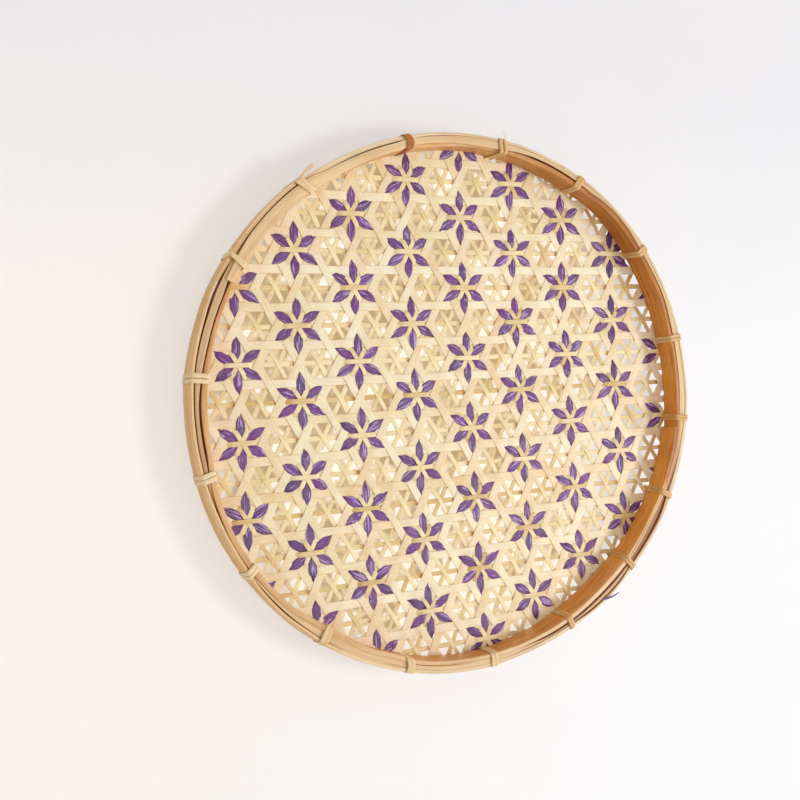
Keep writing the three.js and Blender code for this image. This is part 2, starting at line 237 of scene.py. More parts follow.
class StrandMesh:
    """Gathers closed strands, each a skin over a row of rings, into one mesh."""

    def __init__(self, name: str) -> None:
        """Starts an empty mesh of that name."""
        self.name = name
        self.count = 0
        self.points: list[Array] = []
        self.quads: list[Array] = []
        self.fans: list[Array] = []
        self.quad_maps: list[Array] = []
        self.fan_maps: list[Array] = []
        self.masks: dict[str, list[Array]] = {m: [] for m in MASKS}

    def add(self, rings: Array, along: Array, across: Array | None = None,
            **masks: Array | float) -> None:
        """Adds one strand: four-sided faces between neighbouring rings and a fan of triangles at each end.

        Args:
            rings: Points of the rings, as stations by points round by 3, in millimetres.
            along: Distance of each station along the strand, in millimetres.
            across: Place of each ring point on its way round, from 0 to 1, or None for even steps.
            masks: Values for the attributes named in MASKS, one for all or one per point.
        """
        stations, around = rings.shape[:2]
        index = np.arange(stations * around).reshape(stations, around)
        after = np.roll(index, -1, axis=1)
        quads = np.stack([index[:-1], after[:-1], after[1:], index[1:]], axis=-1).reshape(-1, 4)
        steps = np.arange(1, around - 1)
        first = np.stack([np.zeros_like(steps), steps + 1, steps], axis=-1)
        last = index[-1, 0] + np.stack([np.zeros_like(steps), steps, steps + 1], axis=-1)
        fans = np.concatenate([first, last])
        flat = rings.reshape(-1, 3)
        v = np.arange(around) / around if across is None else across
        v_after = np.roll(v, -1)
        v_after = v_after - np.round(v_after - v)
        u, v, v_after = np.broadcast_arrays(along[:, None] * MM, v[None], v_after[None])
        corners = [(u[:-1], v[:-1]), (u[:-1], v_after[:-1]), (u[1:], v_after[1:]), (u[1:], v[1:])]
        quad_map = np.stack([np.stack(c, axis=-1) for c in corners], axis=2).reshape(-1, 4, 2)
        point_map = np.stack([u, v], axis=-1).reshape(-1, 2)
        if self.inside_out(flat, quads, fans):
            quads, fans = quads[:, ::-1], fans[:, ::-1]
            quad_map = quad_map[:, ::-1]
        self.points.append(flat)
        self.quads.append(quads + self.count)
        self.fans.append(fans + self.count)
        self.quad_maps.append(quad_map)
        self.fan_maps.append(point_map[fans])
        for name, store in self.masks.items():
            value = masks.get(name, 0.0)
            store.append(np.broadcast_to(value, (stations, around)).ravel())
        self.count += len(flat)

    @staticmethod
    def inside_out(points: Array, quads: Array, fans: Array) -> bool:
        """Tells whether a skin's signed volume, the sum of its faces' corner products, is negative.

        Args:
            points: The skin's points.
            quads: Its four-sided faces.
            fans: The triangles of its ends.

        Returns:
            True where its faces point inwards.
        """
        faces = np.concatenate([quads[:, [0, 1, 2]], quads[:, [0, 2, 3]], fans])
        a, b, c = (points[faces[:, i]] - points[0] for i in range(3))
        return float(np.einsum("ij,ij->i", a, np.cross(b, c)).sum()) < 0.0

    def build(self, material: Material, sharp: float = 48.0) -> bpy.types.Object:
        """Makes the Blender object, with its UV map and attributes, smooth but for its sharp corners.

        Args:
            material: The finish that the piece wears.
            sharp: Faces that meet at more than this angle keep a crisp edge.

        Returns:
            The object, with its place in its mesh.
        """
        points = np.concatenate(self.points) * MM
        quads, fans = np.concatenate(self.quads), np.concatenate(self.fans)
        loops = np.concatenate([quads.ravel(), fans.ravel()])
        starts = np.concatenate([4 * np.arange(len(quads)), 4 * len(quads) + 3 * np.arange(len(fans))])
        maps = np.concatenate([np.concatenate(self.quad_maps).reshape(-1, 2),
                               np.concatenate(self.fan_maps).reshape(-1, 2)])
        mesh = bpy.data.meshes.new(self.name)
        mesh.vertices.add(len(points))
        mesh.vertices.foreach_set("co", points.astype(np.float32).ravel())
        mesh.loops.add(len(loops))
        mesh.loops.foreach_set("vertex_index", loops.astype(np.int32))
        mesh.polygons.add(len(starts))
        mesh.polygons.foreach_set("loop_start", starts.astype(np.int32))
        mesh.update(calc_edges=True)
        mesh.uv_layers.new(name="strand").data.foreach_set("uv", maps.astype(np.float32).ravel())
        for name, store in self.masks.items():
            attribute = mesh.attributes.new(name, "FLOAT", "POINT")
            attribute.data.foreach_set("value", np.concatenate(store).astype(np.float32))
        mesh.shade_smooth()
        mesh.set_sharp_from_angle(angle=math.radians(sharp))
        mesh.materials.append(material)
        mesh.validate()
        piece = bpy.data.objects.new(self.name, mesh)
        bpy.context.scene.collection.objects.link(piece)
        return piece


def hand_in(piece: bpy.types.Object, slot: str, *nodes: str) -> None:
    """Rides a piece on the tray's one body, says which CAD nodes it stands for, and reports it.

    Args:
        piece: The finished piece.
        slot: The name of its material slot.
        nodes: The CAD nodes that it replaces, if any.
    """
    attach(piece, "root")
    if nodes:
        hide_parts(*nodes)
    log.info("%s: %d faces, for %s", piece.name, len(piece.data.polygons), ", ".join(nodes) or "itself")


# Finishes

NodeInput = Socket | float | tuple

# Where each noise starts and stops to show, as the ends of a smooth step.
PATCH_STEP = (0.34, 0.68)
STREAK_STEP = (0.3, 0.72)
BAND_STEP = (0.38, 0.62)
# The next two steps place painted highlights, along fine fibres and broad streaks.
GLINT_STEP = (0.5, 0.66)
GLEAM_STEP = (0.54, 0.66)
LINE_STEP = (0.52, 0.64)
BLOT_STEP = (0.5, 0.8)

# How a mask follows the broad bands of grain: the bands times the first number plus the second.
FACE_BY_BAND = (0.28, 0.74)
NODE_BY_BAND = (0.5, 0.72)


@dataclass
class Wiring:
    """Adds nodes to one shader tree and links them."""

    tree: NodeTree

    def feed(self, socket: Socket, value: NodeInput) -> None:
        """Links a value to an input socket, or sets it there.

        Args:
            socket: The input.
            value: An output socket, or a plain value.
        """
        if isinstance(value, Socket):
            self.tree.links.new(value, socket)
        else:
            socket.default_value = value

    def node(self, kind: str, inputs: dict | None = None, **settings: object) -> bpy.types.Node:
        """Adds one shader node, sets its settings, and fills or links its inputs.

        Args:
            kind: Blender's name of the node, less the word ShaderNode.
            inputs: Values or output sockets, by input name or number.
            settings: The node's own properties.

        Returns:
            The node.
        """
        node = self.tree.nodes.new("ShaderNode" + kind)
        for name, value in settings.items():
            setattr(node, name, value)
        for name, value in (inputs or {}).items():
            self.feed(node.inputs[name], value)
        return node

    def group(self, tree: NodeTree, inputs: dict) -> Sockets:
        """Places a node group, fills its inputs and gives its outputs."""
        return self.node("Group", inputs, node_tree=tree).outputs

    def maths(self, operation: str, *values: NodeInput, clamp: bool = False) -> Socket:
        """Does one operation on one to three values."""
        return self.node("Math", dict(enumerate(values)), operation=operation, use_clamp=clamp).outputs[0]

    def times(self, value: NodeInput, factor: NodeInput) -> Socket:
        """Multiplies two values."""
        return self.maths("MULTIPLY", value, factor)

    def times_plus(self, value: NodeInput, factor: NodeInput, more: NodeInput) -> Socket:
        """Multiplies two values and adds a third."""
        return self.maths("MULTIPLY_ADD", value, factor, more)

    def step(self, value: NodeInput, low: float, high: float) -> Socket:
        """Maps low to 0 and high to 1 with a smooth step between them."""
        inputs = {"Value": value, "From Min": low, "From Max": high}
        return self.node("MapRange", inputs, interpolation_type="SMOOTHSTEP").outputs[0]

    def mix(self, share: NodeInput, low: NodeInput, high: NodeInput) -> Socket:
        """Mixes two colours, low where share is 0 and high where it is 1."""
        return self.node("Mix", {0: share, 6: low, 7: high}, data_type="RGBA", clamp_factor=True).outputs[2]

    def noise(self, place: Socket, scale: NodeInput, detail: float, roughness: float = 0.5) -> Socket:
        """Adds noise between about 0 and 1, with detail octaves of finer noise in it."""
        inputs = {"Vector": place, "Scale": scale, "Detail": detail, "Roughness": roughness}
        return self.node("TexNoise", inputs).outputs["Fac"]


def new_group(name: str, inputs: dict[str, tuple[str, float]],
              outputs: tuple[str, ...]) -> tuple[Wiring, Sockets, Sockets]:
    """Starts a shader node group with named sockets.

    Args:
        name: The group's name.
        inputs: Socket kind and first value for each input.
        outputs: Names of the number outputs.

    Returns:
        The group's wiring, the sockets that give its inputs and those that take its outputs.
    """
    tree = bpy.data.node_groups.new(name, "ShaderNodeTree")
    for label, (kind, value) in inputs.items():
        socket = tree.interface.new_socket(label, in_out="INPUT", socket_type=f"NodeSocket{kind}")
        if kind == "Float":
            socket.default_value = value
    for label in outputs:
        tree.interface.new_socket(label, in_out="OUTPUT", socket_type="NodeSocketFloat")
    return Wiring(tree), tree.nodes.new("NodeGroupInput").outputs, tree.nodes.new("NodeGroupOutput").inputs


def fibre_group(seed_depth: float = 23.0, roughness: float = 0.6) -> NodeTree:
    """Lengthwise fibres of split bamboo: noise drawn out along a strand and narrow across it.

    Args:
        seed_depth: How far apart in the noise two strands lie whose seeds differ by 1.
        roughness: How strong the noise's finer octaves are.

    Returns:
        A group with the outputs Streak, for broad streaks, and Fibre, for the fine grain.
    """
    inputs = {"Along": ("Float", 0.0), "Across": ("Float", 0.0), "Seed": ("Float", 0.0),
              "Length": ("Float", 0.03), "Fibres": ("Float", 8.0)}
    wires, given, result = new_group("lengthwise_fibres", inputs, ("Streak", "Fibre"))
    for name, shorter, finer, detail in (("Streak", 1.0, 1.0, 2.0), ("Fibre", 0.4, 3.6, 4.0)):
        along = wires.maths("DIVIDE", given["Along"], wires.times(given["Length"], shorter))
        across = wires.times(given["Across"], wires.times(given["Fibres"], finer))
        depth = wires.times(given["Seed"], seed_depth * finer)
        place = wires.node("CombineXYZ", {0: along, 1: across, 2: depth}).outputs[0]
        wires.feed(result[name], wires.noise(place, 1.0, detail, roughness))
    return wires.tree


def patch_group(detail: float = 3.0) -> NodeTree:
    """Soft uneven patches, such as sun, handling and sap leave: slow noise in the object's own space.

    Args:
        detail: Octaves of finer noise.

    Returns:
        A group with the output Patch.
    """
    inputs = {"Vector": ("Vector", 0.0), "Scale": ("Float", 20.0)}
    wires, given, result = new_group("soft_patches", inputs, ("Patch",))
    noise = wires.noise(given["Vector"], given["Scale"], detail)
    wires.feed(result["Patch"], wires.step(noise, *PATCH_STEP))
    return wires.tree


def edge_wear_and_shadow_group(least: float = 0.45) -> NodeTree:
    """Edge marks, worn pale on bamboo and cane and painted shadow along the wide and narrow splints'
    overlaps: how near a point is to its strand's edge, broken up by the fibres.

    Args:
        least: The mark that an edge has where the fibres add none.

    Returns:
        A group with one output, the edge mark.
    """
    inputs = {"Edge": ("Float", 0.0), "Breakup": ("Float", 0.5)}
    wires, given, result = new_group("edge_wear_and_shadow_marks", inputs, ("WearAndShadow",))
    noisy = wires.maths("ADD", given["Breakup"], least)
    wires.feed(result["WearAndShadow"], wires.maths("MULTIPLY", given["Edge"], noisy, clamp=True))
    return wires.tree


@dataclass
class Effects:
    """The node groups that the finishes share, built once."""

    fibres: NodeTree = field(default_factory=fibre_group)
    patches: NodeTree = field(default_factory=patch_group)
    edges: NodeTree = field(default_factory=edge_wear_and_shadow_group)


@dataclass(frozen=True)
class Grain:
    """The patterns of one material: its masks, its fine and broad fibres, streaks, bands and patches."""

    masks: dict[str, Socket]
    fine: Sockets
    broad: Sockets
    streak: Socket
    band: Socket
    patch: Socket


@dataclass(frozen=True)
class StrandFinish:
    """How a bamboo, splint or cane strand looks.

    The colour goes from pale to deep with the fibres, the strand's own tone and the patches. Edge is
    the colour of the edges: worn pale on the bamboo and cane, darker on the splints, where on the wide
    and narrow ones it is painted shadow along their overlaps. Gap is painted shade, the colour deep
    between the hoops. Face is that of an inner hoop's inside, and of painted light and shade on the
    hoops' fronts and sides. Node is that of a bamboo stem's joints and stain marks, and of painted shade
    on the inner hoop and where narrow splints dip under a crossing. Glint is the colour of painted
    highlights, which show on fine fibres and broad streaks, and tint that of patches where some green
    is left. Bands is how many broad bands of grain go round a strip, and lines and mottle are how far
    stain goes on its inside, in lines along the grain and in blots. Breaks is how soon the grain breaks
    up as a strand's own tone changes along it. Length and relief are in metres.
    """

    name: str
    pale: str
    deep: str
    edge: str
    # Painted shade: the colour deep in the gaps.
    gap: str = "b46a3c"
    face: str = "e6942e"
    node: str = "8f5a28"
    painted_glint: str = "fff0d0"
    painted_glints: float = 0.0
    painted_gleams: float = 0.0
    stain: str = "6e3410"
    bands: float = 0.0
    lines: float = 0.0
    mottle: float = 0.0
    tint: str = "ded39a"
    tinted: float = 0.0
    tint_scale: float = 0.6
    streaks: float = 0.45
    tones: float = 0.3
    patches: float = 0.3
    edge_wear_and_shadow: float = 0.35
    length: float = 0.03
    fibres: float = 10.0
    breaks: float = 1.0
    roughness: float = 0.5
    roughness_swing: float = 0.16
    specular: float = 0.45
    relief: float = 0.00012
    relief_strength: float = 0.5
    patch_scale: float = 26.0

    def grain(self, wires: Wiring, effects: Effects, place: Socket) -> Grain:
        """Lays out the patterns. The bands take no seed, so that they run on where the tone changes.

        Args:
            wires: The material's wiring.
            effects: The shared groups.
            place: The object coordinates.

        Returns:
            The patterns.
        """
        masks = {n: wires.node("Attribute", attribute_name=n).outputs["Fac"] for n in MASKS}
        strand = wires.node("UVMap", uv_map="strand").outputs[0]
        split = wires.node("SeparateXYZ", {0: strand}).outputs
        way = {"Along": split[0], "Across": split[1], "Length": self.length}
        seed = wires.times(masks["tone"], self.breaks)
        fine = wires.group(effects.fibres, {**way, "Seed": seed, "Fibres": self.fibres})
        patch = wires.group(effects.patches, {"Vector": place, "Scale": self.patch_scale})["Patch"]
        streak = wires.step(fine["Streak"], *STREAK_STEP)
        broad, band = fine, streak
        if self.bands > 0.0:
            broad = wires.group(effects.fibres, {**way, "Fibres": self.bands})
            band = wires.step(broad["Streak"], *BAND_STEP)
            streak = wires.times_plus(band, 0.5, wires.times(streak, 0.5))
        return Grain(masks, fine, broad, streak, band, patch)

    def clean(self, wires: Wiring, effects: Effects, grain: Grain, place: Socket) -> Socket:
        """Colours the strand itself: pale to deep, then green patches, then painted highlights.

        Args:
            wires: The material's wiring.
            effects: The shared groups.
            grain: The patterns.
            place: The object coordinates.

        Returns:
            The colour.
        """
        share = wires.times(grain.streak, self.streaks)
        share = wires.times_plus(grain.masks["tone"], self.tones, share)
        share = wires.times_plus(grain.patch, self.patches, share)
        body = wires.mix(share, colour(self.pale), colour(self.deep))
        if self.tinted > 0.0:
            scale = self.tint_scale * self.patch_scale
            green = wires.group(effects.patches, {"Vector": place, "Scale": scale})["Patch"]
            body = wires.mix(wires.times(green, self.tinted), body, colour(self.tint))
        # Painted highlights: the highlight colour laid over the finest fibres and broad streaks.
        if self.painted_glints > 0.0:
            painted_glint = wires.times(wires.step(grain.fine["Fibre"], *GLINT_STEP), self.painted_glints)
            painted_gleam = wires.times(wires.step(grain.fine["Streak"], *GLEAM_STEP), self.painted_gleams)
            body = wires.mix(wires.maths("MAXIMUM", painted_glint, painted_gleam), body, colour(self.painted_glint))
        return body

    def aged(self, wires: Wiring, grain: Grain, edge_wear_and_shadow: Socket, body: Socket) -> Socket:
        """Ages a colour: the face colour with painted light and shade, worn edges and painted shadow along
        splint edges, joints, stain marks and painted shade, and the painted shade of the gaps.

        Args:
            wires: The material's wiring.
            grain: The patterns.
            edge_wear_and_shadow: How much of the edge colour each point takes: worn pale on bamboo and cane,
                painted shadow on the wide and narrow splints.
            body: The strand's own colour.

        Returns:
            The aged colour.
        """
        face, node = grain.masks["face"], grain.masks["node"]
        browned_with_painted_light = wires.times(face, wires.times_plus(grain.band, *FACE_BY_BAND))
        body = wires.mix(browned_with_painted_light, body, colour(self.face))
        # Edge colour: worn pale on bamboo and cane, painted shadow along the wide and narrow splints'
        # overlaps.
        body = wires.mix(wires.times(edge_wear_and_shadow, self.edge_wear_and_shadow), body, colour(self.edge))
        jointed = wires.times(node, wires.times_plus(grain.band, *NODE_BY_BAND))
        body = wires.mix(jointed, body, colour(self.node))
        if self.lines > 0.0:
            line = wires.times(wires.step(grain.broad["Fibre"], *LINE_STEP), self.lines)
            blot = wires.times(wires.step(grain.patch, *BLOT_STEP), self.mottle)
            stained = wires.times(wires.maths("MAXIMUM", line, blot), face)
            body = wires.mix(stained, body, colour(self.stain))
        # Painted shade deep in the gaps.
        return wires.mix(grain.masks["gap"], body, colour(self.gap))

    def material(self, effects: Effects) -> Material:
        """Builds the material from the shared groups and this finish's own values.

        Args:
            effects: The shared groups.

        Returns:
            The material.
        """
        made = bpy.data.materials.new(self.name)
        made.use_nodes = True
        shader = made.node_tree.nodes["Principled BSDF"].inputs
        wires = Wiring(made.node_tree)
        place = wires.node("TexCoord").outputs["Object"]
        grain = self.grain(wires, effects, place)
        fibre = grain.fine["Fibre"]
        edge_wear_and_shadow = wires.group(effects.edges, {"Edge": grain.masks["edge"], "Breakup": fibre})["WearAndShadow"]
        smooth = self.roughness - 0.5 * self.roughness_swing
        height = wires.times_plus(grain.streak, 0.5, fibre)
        relief = {"Height": height, "Distance": self.relief, "Strength": self.relief_strength}
        body = self.clean(wires, effects, grain, place)
        wires.feed(shader["Base Color"], self.aged(wires, grain, edge_wear_and_shadow, body))
        wires.feed(shader["Roughness"], wires.times_plus(fibre, self.roughness_swing, smooth))
        wires.feed(shader["Normal"], wires.node("Bump", relief).outputs[0])
        wires.feed(shader["Specular IOR Level"], self.specular)
        return made


# The outer hoop's face colour is painted light on its left side, which the lamp leaves in shade.
OUTER_BAMBOO = StrandFinish("outer_bamboo", "f9e2b6", "c08c4c", "fbe6c2", streaks=0.8, patches=0.35,
                            length=0.05, fibres=34.0, roughness=0.46, relief=0.0002, patch_scale=14.0,
                            edge_wear_and_shadow=0.6, face="fcc274", node="a87038", stain="7a4a1e", bands=12.0, lines=0.3)
# The filler's face colour is painted shade where it lies back.
FILLER_BAMBOO = StrandFinish("filler_bamboo", "fad6a0", "c08646", "fbe4ba", streaks=0.6, length=0.06,
                             fibres=26.0, relief=0.0002, patch_scale=16.0, face="8e4e1c", bands=12.0)
# The inner hoop's face colour is its inside's own and also painted shade on its front; its node colour marks
# joints and smudges and also paints shade on its front and inside.
INNER_BAMBOO = StrandFinish("inner_bamboo", "f2cd94", "b87e40", "fae2b6", streaks=0.75, patches=0.4,
                            length=0.07, fibres=36.0, roughness=0.38, relief=0.00025, patch_scale=11.0,
                            face="f8a036", node="8a4418", bands=13.0, lines=0.55, mottle=0.2)
# Painted shade: the turned-up ends, purple ones too, all wear this dark tan.
TURNED_ENDS = StrandFinish("turned_up_ends", "c89c5c", "7c4c22", "d2aa6c", streaks=0.5, fibres=8.0)
# The wide and narrow splints' darker edge colour is painted shadow along their overlaps.
WIDE_SPLINT = StrandFinish("wide_splint", "fff1d2", "ebc286", "dcaa66", streaks=0.4, patches=0.25,
                           length=0.035, fibres=12.0, roughness=0.45, edge_wear_and_shadow=0.6, tint="ecdf9e", tinted=0.25)
# The narrow splints' node colour is painted shade where they dip under a crossing.
NARROW_SPLINT = StrandFinish("narrow_splint", "fde9b8", "d8b26a", "c7964e", streaks=0.42, tones=0.45,
                             patches=0.25, fibres=8.0, edge_wear_and_shadow=0.65, node="be7828")
# Purple splints carry painted highlights: pale lilac streaks along fine fibres and broad streaks.
PURPLE_SPLINT = StrandFinish("purple_splint", "772286", "2a0642", "2e0844", painted_glint="dab4f0", painted_glints=0.2,
                             painted_gleams=0.75, streaks=0.75, tones=0.2, edge_wear_and_shadow=0.85, fibres=9.0, breaks=0.2,
                             roughness=0.34, roughness_swing=0.3, specular=0.65, relief=0.0004,
                             relief_strength=0.9, patch_scale=60.0)
TIE_CANE = StrandFinish("tie_cane", "f8dcae", "cf9440", "f0cc8e", tones=0.55, patches=0.2, length=0.012,
                        fibres=12.0, roughness=0.42, patch_scale=60.0)
DARK_CANE = StrandFinish("dark_tie_cane", "cc7c36", "8a461a", "dc9a56", streaks=0.6, tones=0.2,
                         patches=0.35, length=0.012, fibres=12.0, roughness=0.4, patch_scale=60.0)


# How the hoops run


@dataclass(frozen=True)
class RimRun:
    """Where the hand-bent strips of the rim run, as read round the photograph.

    Values are insets from the rim's outside and thicknesses. The outer hoop, its gap, the filler, its
    gap and the inner hoop follow each other inwards, and line is the middle of the second gap. The broad
    end of the filler lies over the inner hoop from the top round to the upper left. The last shares tell
    how much painted light and shade the strips take: light on the outer hoop's left side, which the lamp
    leaves in shade, shade on the filler where it lies back and on the inner hoop's front, and more shade
    on the inner hoop's front and inside.
    """

    outer_front: Knots = Knots((
        (0, -0.6), (10, 0.1), (20, 0.3), (33, 0.2), (39, -0.4), (48, -0.1), (57, 0.2), (65, 0.7), (75, 0.9),
        (90, 1.2), (107, 1.0), (119, 1.2), (127, 0.6), (134, -0.9), (148, -1.2), (157, -1.7), (162, -2.4),
        (174, -2.3), (182, -1.7), (190, -1.0), (196, -0.4), (206, 0.0), (214, -0.1), (219, -1.0),
        (225, -1.3), (232, -0.6), (242, -1.3), (251, -1.1), (262, -0.8), (272, -0.8), (282, 0.2),
        (294, 0.1), (300, 0.0), (306, -0.6), (311, -0.8), (318, -0.2), (325, -0.5), (334, -0.7),
        (341, -0.5), (353, -0.7)))
    outer_rear: Knots = Knots((
        (0, 0.5), (60, 0.5), (100, 1.0), (128, 1.2), (134, -0.1), (148, 0.3), (157, -0.4), (165, -0.8),
        (178, -0.9), (182, -0.3), (190, 0.3), (200, 0.7), (215, 0.6), (225, 0.2), (232, -0.5), (242, -0.9),
        (250, -0.4), (270, 0.3), (300, 0.5)))
    outer_thick: Knots = Knots((
        (0, 1.9), (100, 1.9), (107, 2.6), (121, 3.0), (127, 3.5), (132, 1.8), (235, 1.8), (242, 2.6),
        (250, 2.1), (280, 2.3), (290, 2.6), (298, 2.2), (304, 1.5), (314, 1.5), (319, 2.1), (326, 2.2),
        (332, 2.0), (338, 3.0), (352, 2.8)))
    outer_gap: Knots = Knots((
        (0, 0.1), (76, 0.1), (84, 0.25), (103, 0.2), (109, 0.8), (115, 0.7), (119, 0.3), (122, 0.1),
        (127, 0.1), (133, 1.0), (137, 0.7), (142, 0.4), (148, 0.3), (156, 0.2), (161, 0.9), (165, 1.2),
        (170, 1.0), (176, 0.8), (186, 0.85), (193, 0.5), (202, 0.25), (215, 0.15), (220, 0.5), (225, 0.7),
        (230, 0.4), (238, 0.1), (246, -0.3), (276, -0.3), (284, 0.1), (298, 0.3), (303, 0.8), (309, 1.0),
        (315, 0.8), (319, 0.3), (327, 1.0), (332, 1.2), (336, 0.7), (341, 0.15)))
    line: Knots = Knots((
        (0, 6.1), (10, 6.6), (18, 6.2), (22, 5.3), (26, 4.6), (34, 4.6), (39, 4.0), (43, 3.1), (47, 2.9),
        (52, 3.7), (56, 5.4), (70, 5.8), (76, 6.3), (80, 7.3), (158, 5.5), (170, 5.1), (178, 4.2),
        (182, 3.9), (192, 4.7), (196, 3.9), (203, 2.8), (210, 2.2), (218, 2.7), (225, 3.3), (229, 4.1),
        (232, 5.4), (237, 6.2), (246, 5.0), (251, 5.6), (259, 4.0), (267, 4.4), (272, 5.5), (278, 5.4),
        (286, 4.9), (294, 4.3), (300, 4.3), (306, 4.6), (318, 5.0), (330, 6.0), (334, 5.9), (341, 4.9),
        (353, 5.0)))
    inner_gap: Knots = Knots((
        (0, 0.3), (10, 0.8), (28, 1.0), (36, 0.6), (55, 0.5), (58, 0.9), (62, 1.5), (72, 1.4), (76, 0.5),
        (103, 0.2), (158, 0.9), (165, 1.0), (176, 0.7), (182, 1.1), (190, 1.2), (194, 0.5), (199, -0.3),
        (250, -0.4), (260, 0.35), (272, 0.35), (280, 0.15), (286, 0.4), (291, 1.2), (300, 1.7), (308, 1.9),
        (316, 1.8), (320, 0.9), (330, 0.6), (338, 0.15), (352, 0.1)))
    inner_front: Knots = Knots((
        (0, 9.5), (10, 9.7), (18, 9.7), (22, 8.9), (26, 8.2), (34, 8.3), (39, 7.6), (43, 6.7), (47, 6.5),
        (52, 7.3), (56, 9.0), (62, 9.7), (80, 9.6), (87, 9.1), (98, 9.6), (107, 9.5), (119, 10.0),
        (134, 9.4), (148, 8.6), (161, 8.0), (190, 8.1), (196, 7.1), (203, 6.0), (210, 5.5), (218, 6.1),
        (225, 6.7), (232, 8.8), (237, 9.4), (246, 8.3), (251, 8.6), (258, 6.9), (262, 6.8), (267, 7.0),
        (272, 7.3), (278, 7.5), (286, 7.6), (294, 7.9), (300, 8.3), (306, 8.8), (320, 9.1), (334, 9.3),
        (341, 9.0), (353, 9.0)))
    inner_rear: Knots = Knots((
        (0, 8.3), (5, 8.8), (13, 9.3), (26, 9.0), (30, 8.5), (39, 7.5), (47, 6.4), (52, 6.6), (56, 7.5),
        (62, 9.2), (75, 9.5), (87, 9.1), (98, 9.6), (107, 9.5), (119, 10.1), (128, 10.0), (134, 9.4),
        (148, 8.6), (157, 8.2), (190, 8.1), (198, 7.6), (206, 7.0), (215, 6.6), (225, 7.2), (232, 8.6),
        (240, 8.8), (246, 8.3), (251, 8.6), (258, 8.0), (267, 8.0), (278, 8.3), (285, 9.4), (294, 10.1),
        (299, 10.9), (304, 11.8), (312, 12.0), (318, 11.5), (324, 10.2), (331, 9.5), (341, 9.2), (347, 8.8),
        (353, 8.6)))
    broad_outer: Knots = Knots((
        (76, 3.0), (84, 3.2), (104, 3.2), (109, 4.5), (120, 4.5), (126, 4.0), (131, 1.6), (148, 1.1),
        (152, 1.6), (156, 2.3), (158, 2.4)))
    broad_inner: Knots = Knots((
        (76, 6.3), (80, 7.1), (84, 8.4), (93, 8.0), (103, 7.8), (107, 9.2), (119, 10.0), (128, 9.9),
        (134, 9.4), (148, 8.4), (158, 7.0)))
    filler_drop: Knots = Knots((
        (0, 0.3), (76, 0.1), (165, 0.3), (197, 0.5), (203, 4.5), (212, 4.5), (218, 0.5), (292, 0.3),
        (298, 0.6), (318, 0.7), (322, 1.4), (336, 1.4), (342, 0.9), (352, 0.4)))
    # Painted light and shade: light on the outer hoop's left side, which the lamp leaves in shade, shade on
    # the filler where it lies back and on the inner hoop's front, and more shade on the inner hoop's front
    # and inside.
    outer_painted_light: Knots = Knots((
        (0, 0.0), (100, 0.1), (132, 0.4), (160, 0.65), (225, 0.6), (260, 0.15), (290, 0.0)))
    filler_painted_shade: Knots = Knots((
        (0, 0.0), (140, 0.1), (158, 0.4), (200, 0.45), (230, 0.1), (290, 0.15), (316, 0.4), (321, 0.9),
        (337, 0.9), (348, 0.5), (356, 0.1)))
    inner_painted_shade: Knots = Knots((
        (0, 1.0), (60, 1.0), (76, 0.45), (90, 0.2), (165, 0.5), (200, 0.4), (230, 0.1), (300, 0.2),
        (336, 0.35), (342, 0.85), (356, 1.0)))
    inner_painted_dusk: Knots = Knots((
        (0, 0.0), (10, 0.1), (25, 0.4), (45, 0.55), (62, 0.5), (75, 0.25), (100, 0.05), (145, 0.05),
        (165, 0.25), (200, 0.25), (225, 0.05), (250, 0.05), (275, 0.2), (305, 0.2), (330, 0.03), (350, 0.0)))
    least_filler: float = 0.7
    least_inner: float = 2.6

    def filler_outer(self, angle: Array) -> Array:
        """The inset of the filler's outside: past the outer hoop and the first gap."""
        return self.outer_front.at(angle) + self.outer_thick.at(angle) + self.outer_gap.at(angle)

    def filler_inner(self, angle: Array) -> Array:
        """The inset of the filler's inside: the near side of the second gap."""
        inner = self.line.at(angle) - self.inner_gap.at(angle) / 2.0
        return np.maximum(inner, self.filler_outer(angle) + self.least_filler)

    def inner_outer(self, angle: Array) -> Array:
        """The inset of the inner hoop's outside: the far side of the second gap."""
        outer = self.line.at(angle) + self.inner_gap.at(angle) / 2.0
        return np.minimum(outer, self.inner_front.at(angle) - self.least_inner)


# Mat


class Kind(Enum):
    """The three kinds of splint."""

    WIDE = "wide"
    NARROW = "narrow"
    PURPLE = "purple"


@dataclass(frozen=True)
class SplintSet:
    """One set of parallel splints, the angle of its run, and the CAD node that it stands for.

    Order says which of a kind's three sets lies over the others at a flower, and cell which does in a
    plain cell, in steps of height. For wide splints order is the sign of their wave.
    """

    node: str
    kind: Kind
    run: float
    order: float
    cell: float = 0.0


SPLINT_SETS = (
    SplintSet("wide_splints_level", Kind.WIDE, 0.0, -1.0),
    SplintSet("wide_splints_rising", Kind.WIDE, 60.0, 1.0),
    SplintSet("wide_splints_falling", Kind.WIDE, 120.0, -1.0),
    SplintSet("narrow_splints_level", Kind.NARROW, 0.0, 1.0, cell=-0.5),
    SplintSet("narrow_splints_rising", Kind.NARROW, 60.0, -1.0),
    SplintSet("narrow_splints_falling", Kind.NARROW, 120.0, 0.0, cell=1.0),
    SplintSet("purple_splints_upright", Kind.PURPLE, 90.0, 0.0),
    SplintSet("purple_splints_rising", Kind.PURPLE, 30.0, 1.0),
    SplintSet("purple_splints_falling", Kind.PURPLE, 150.0, -1.0),
)


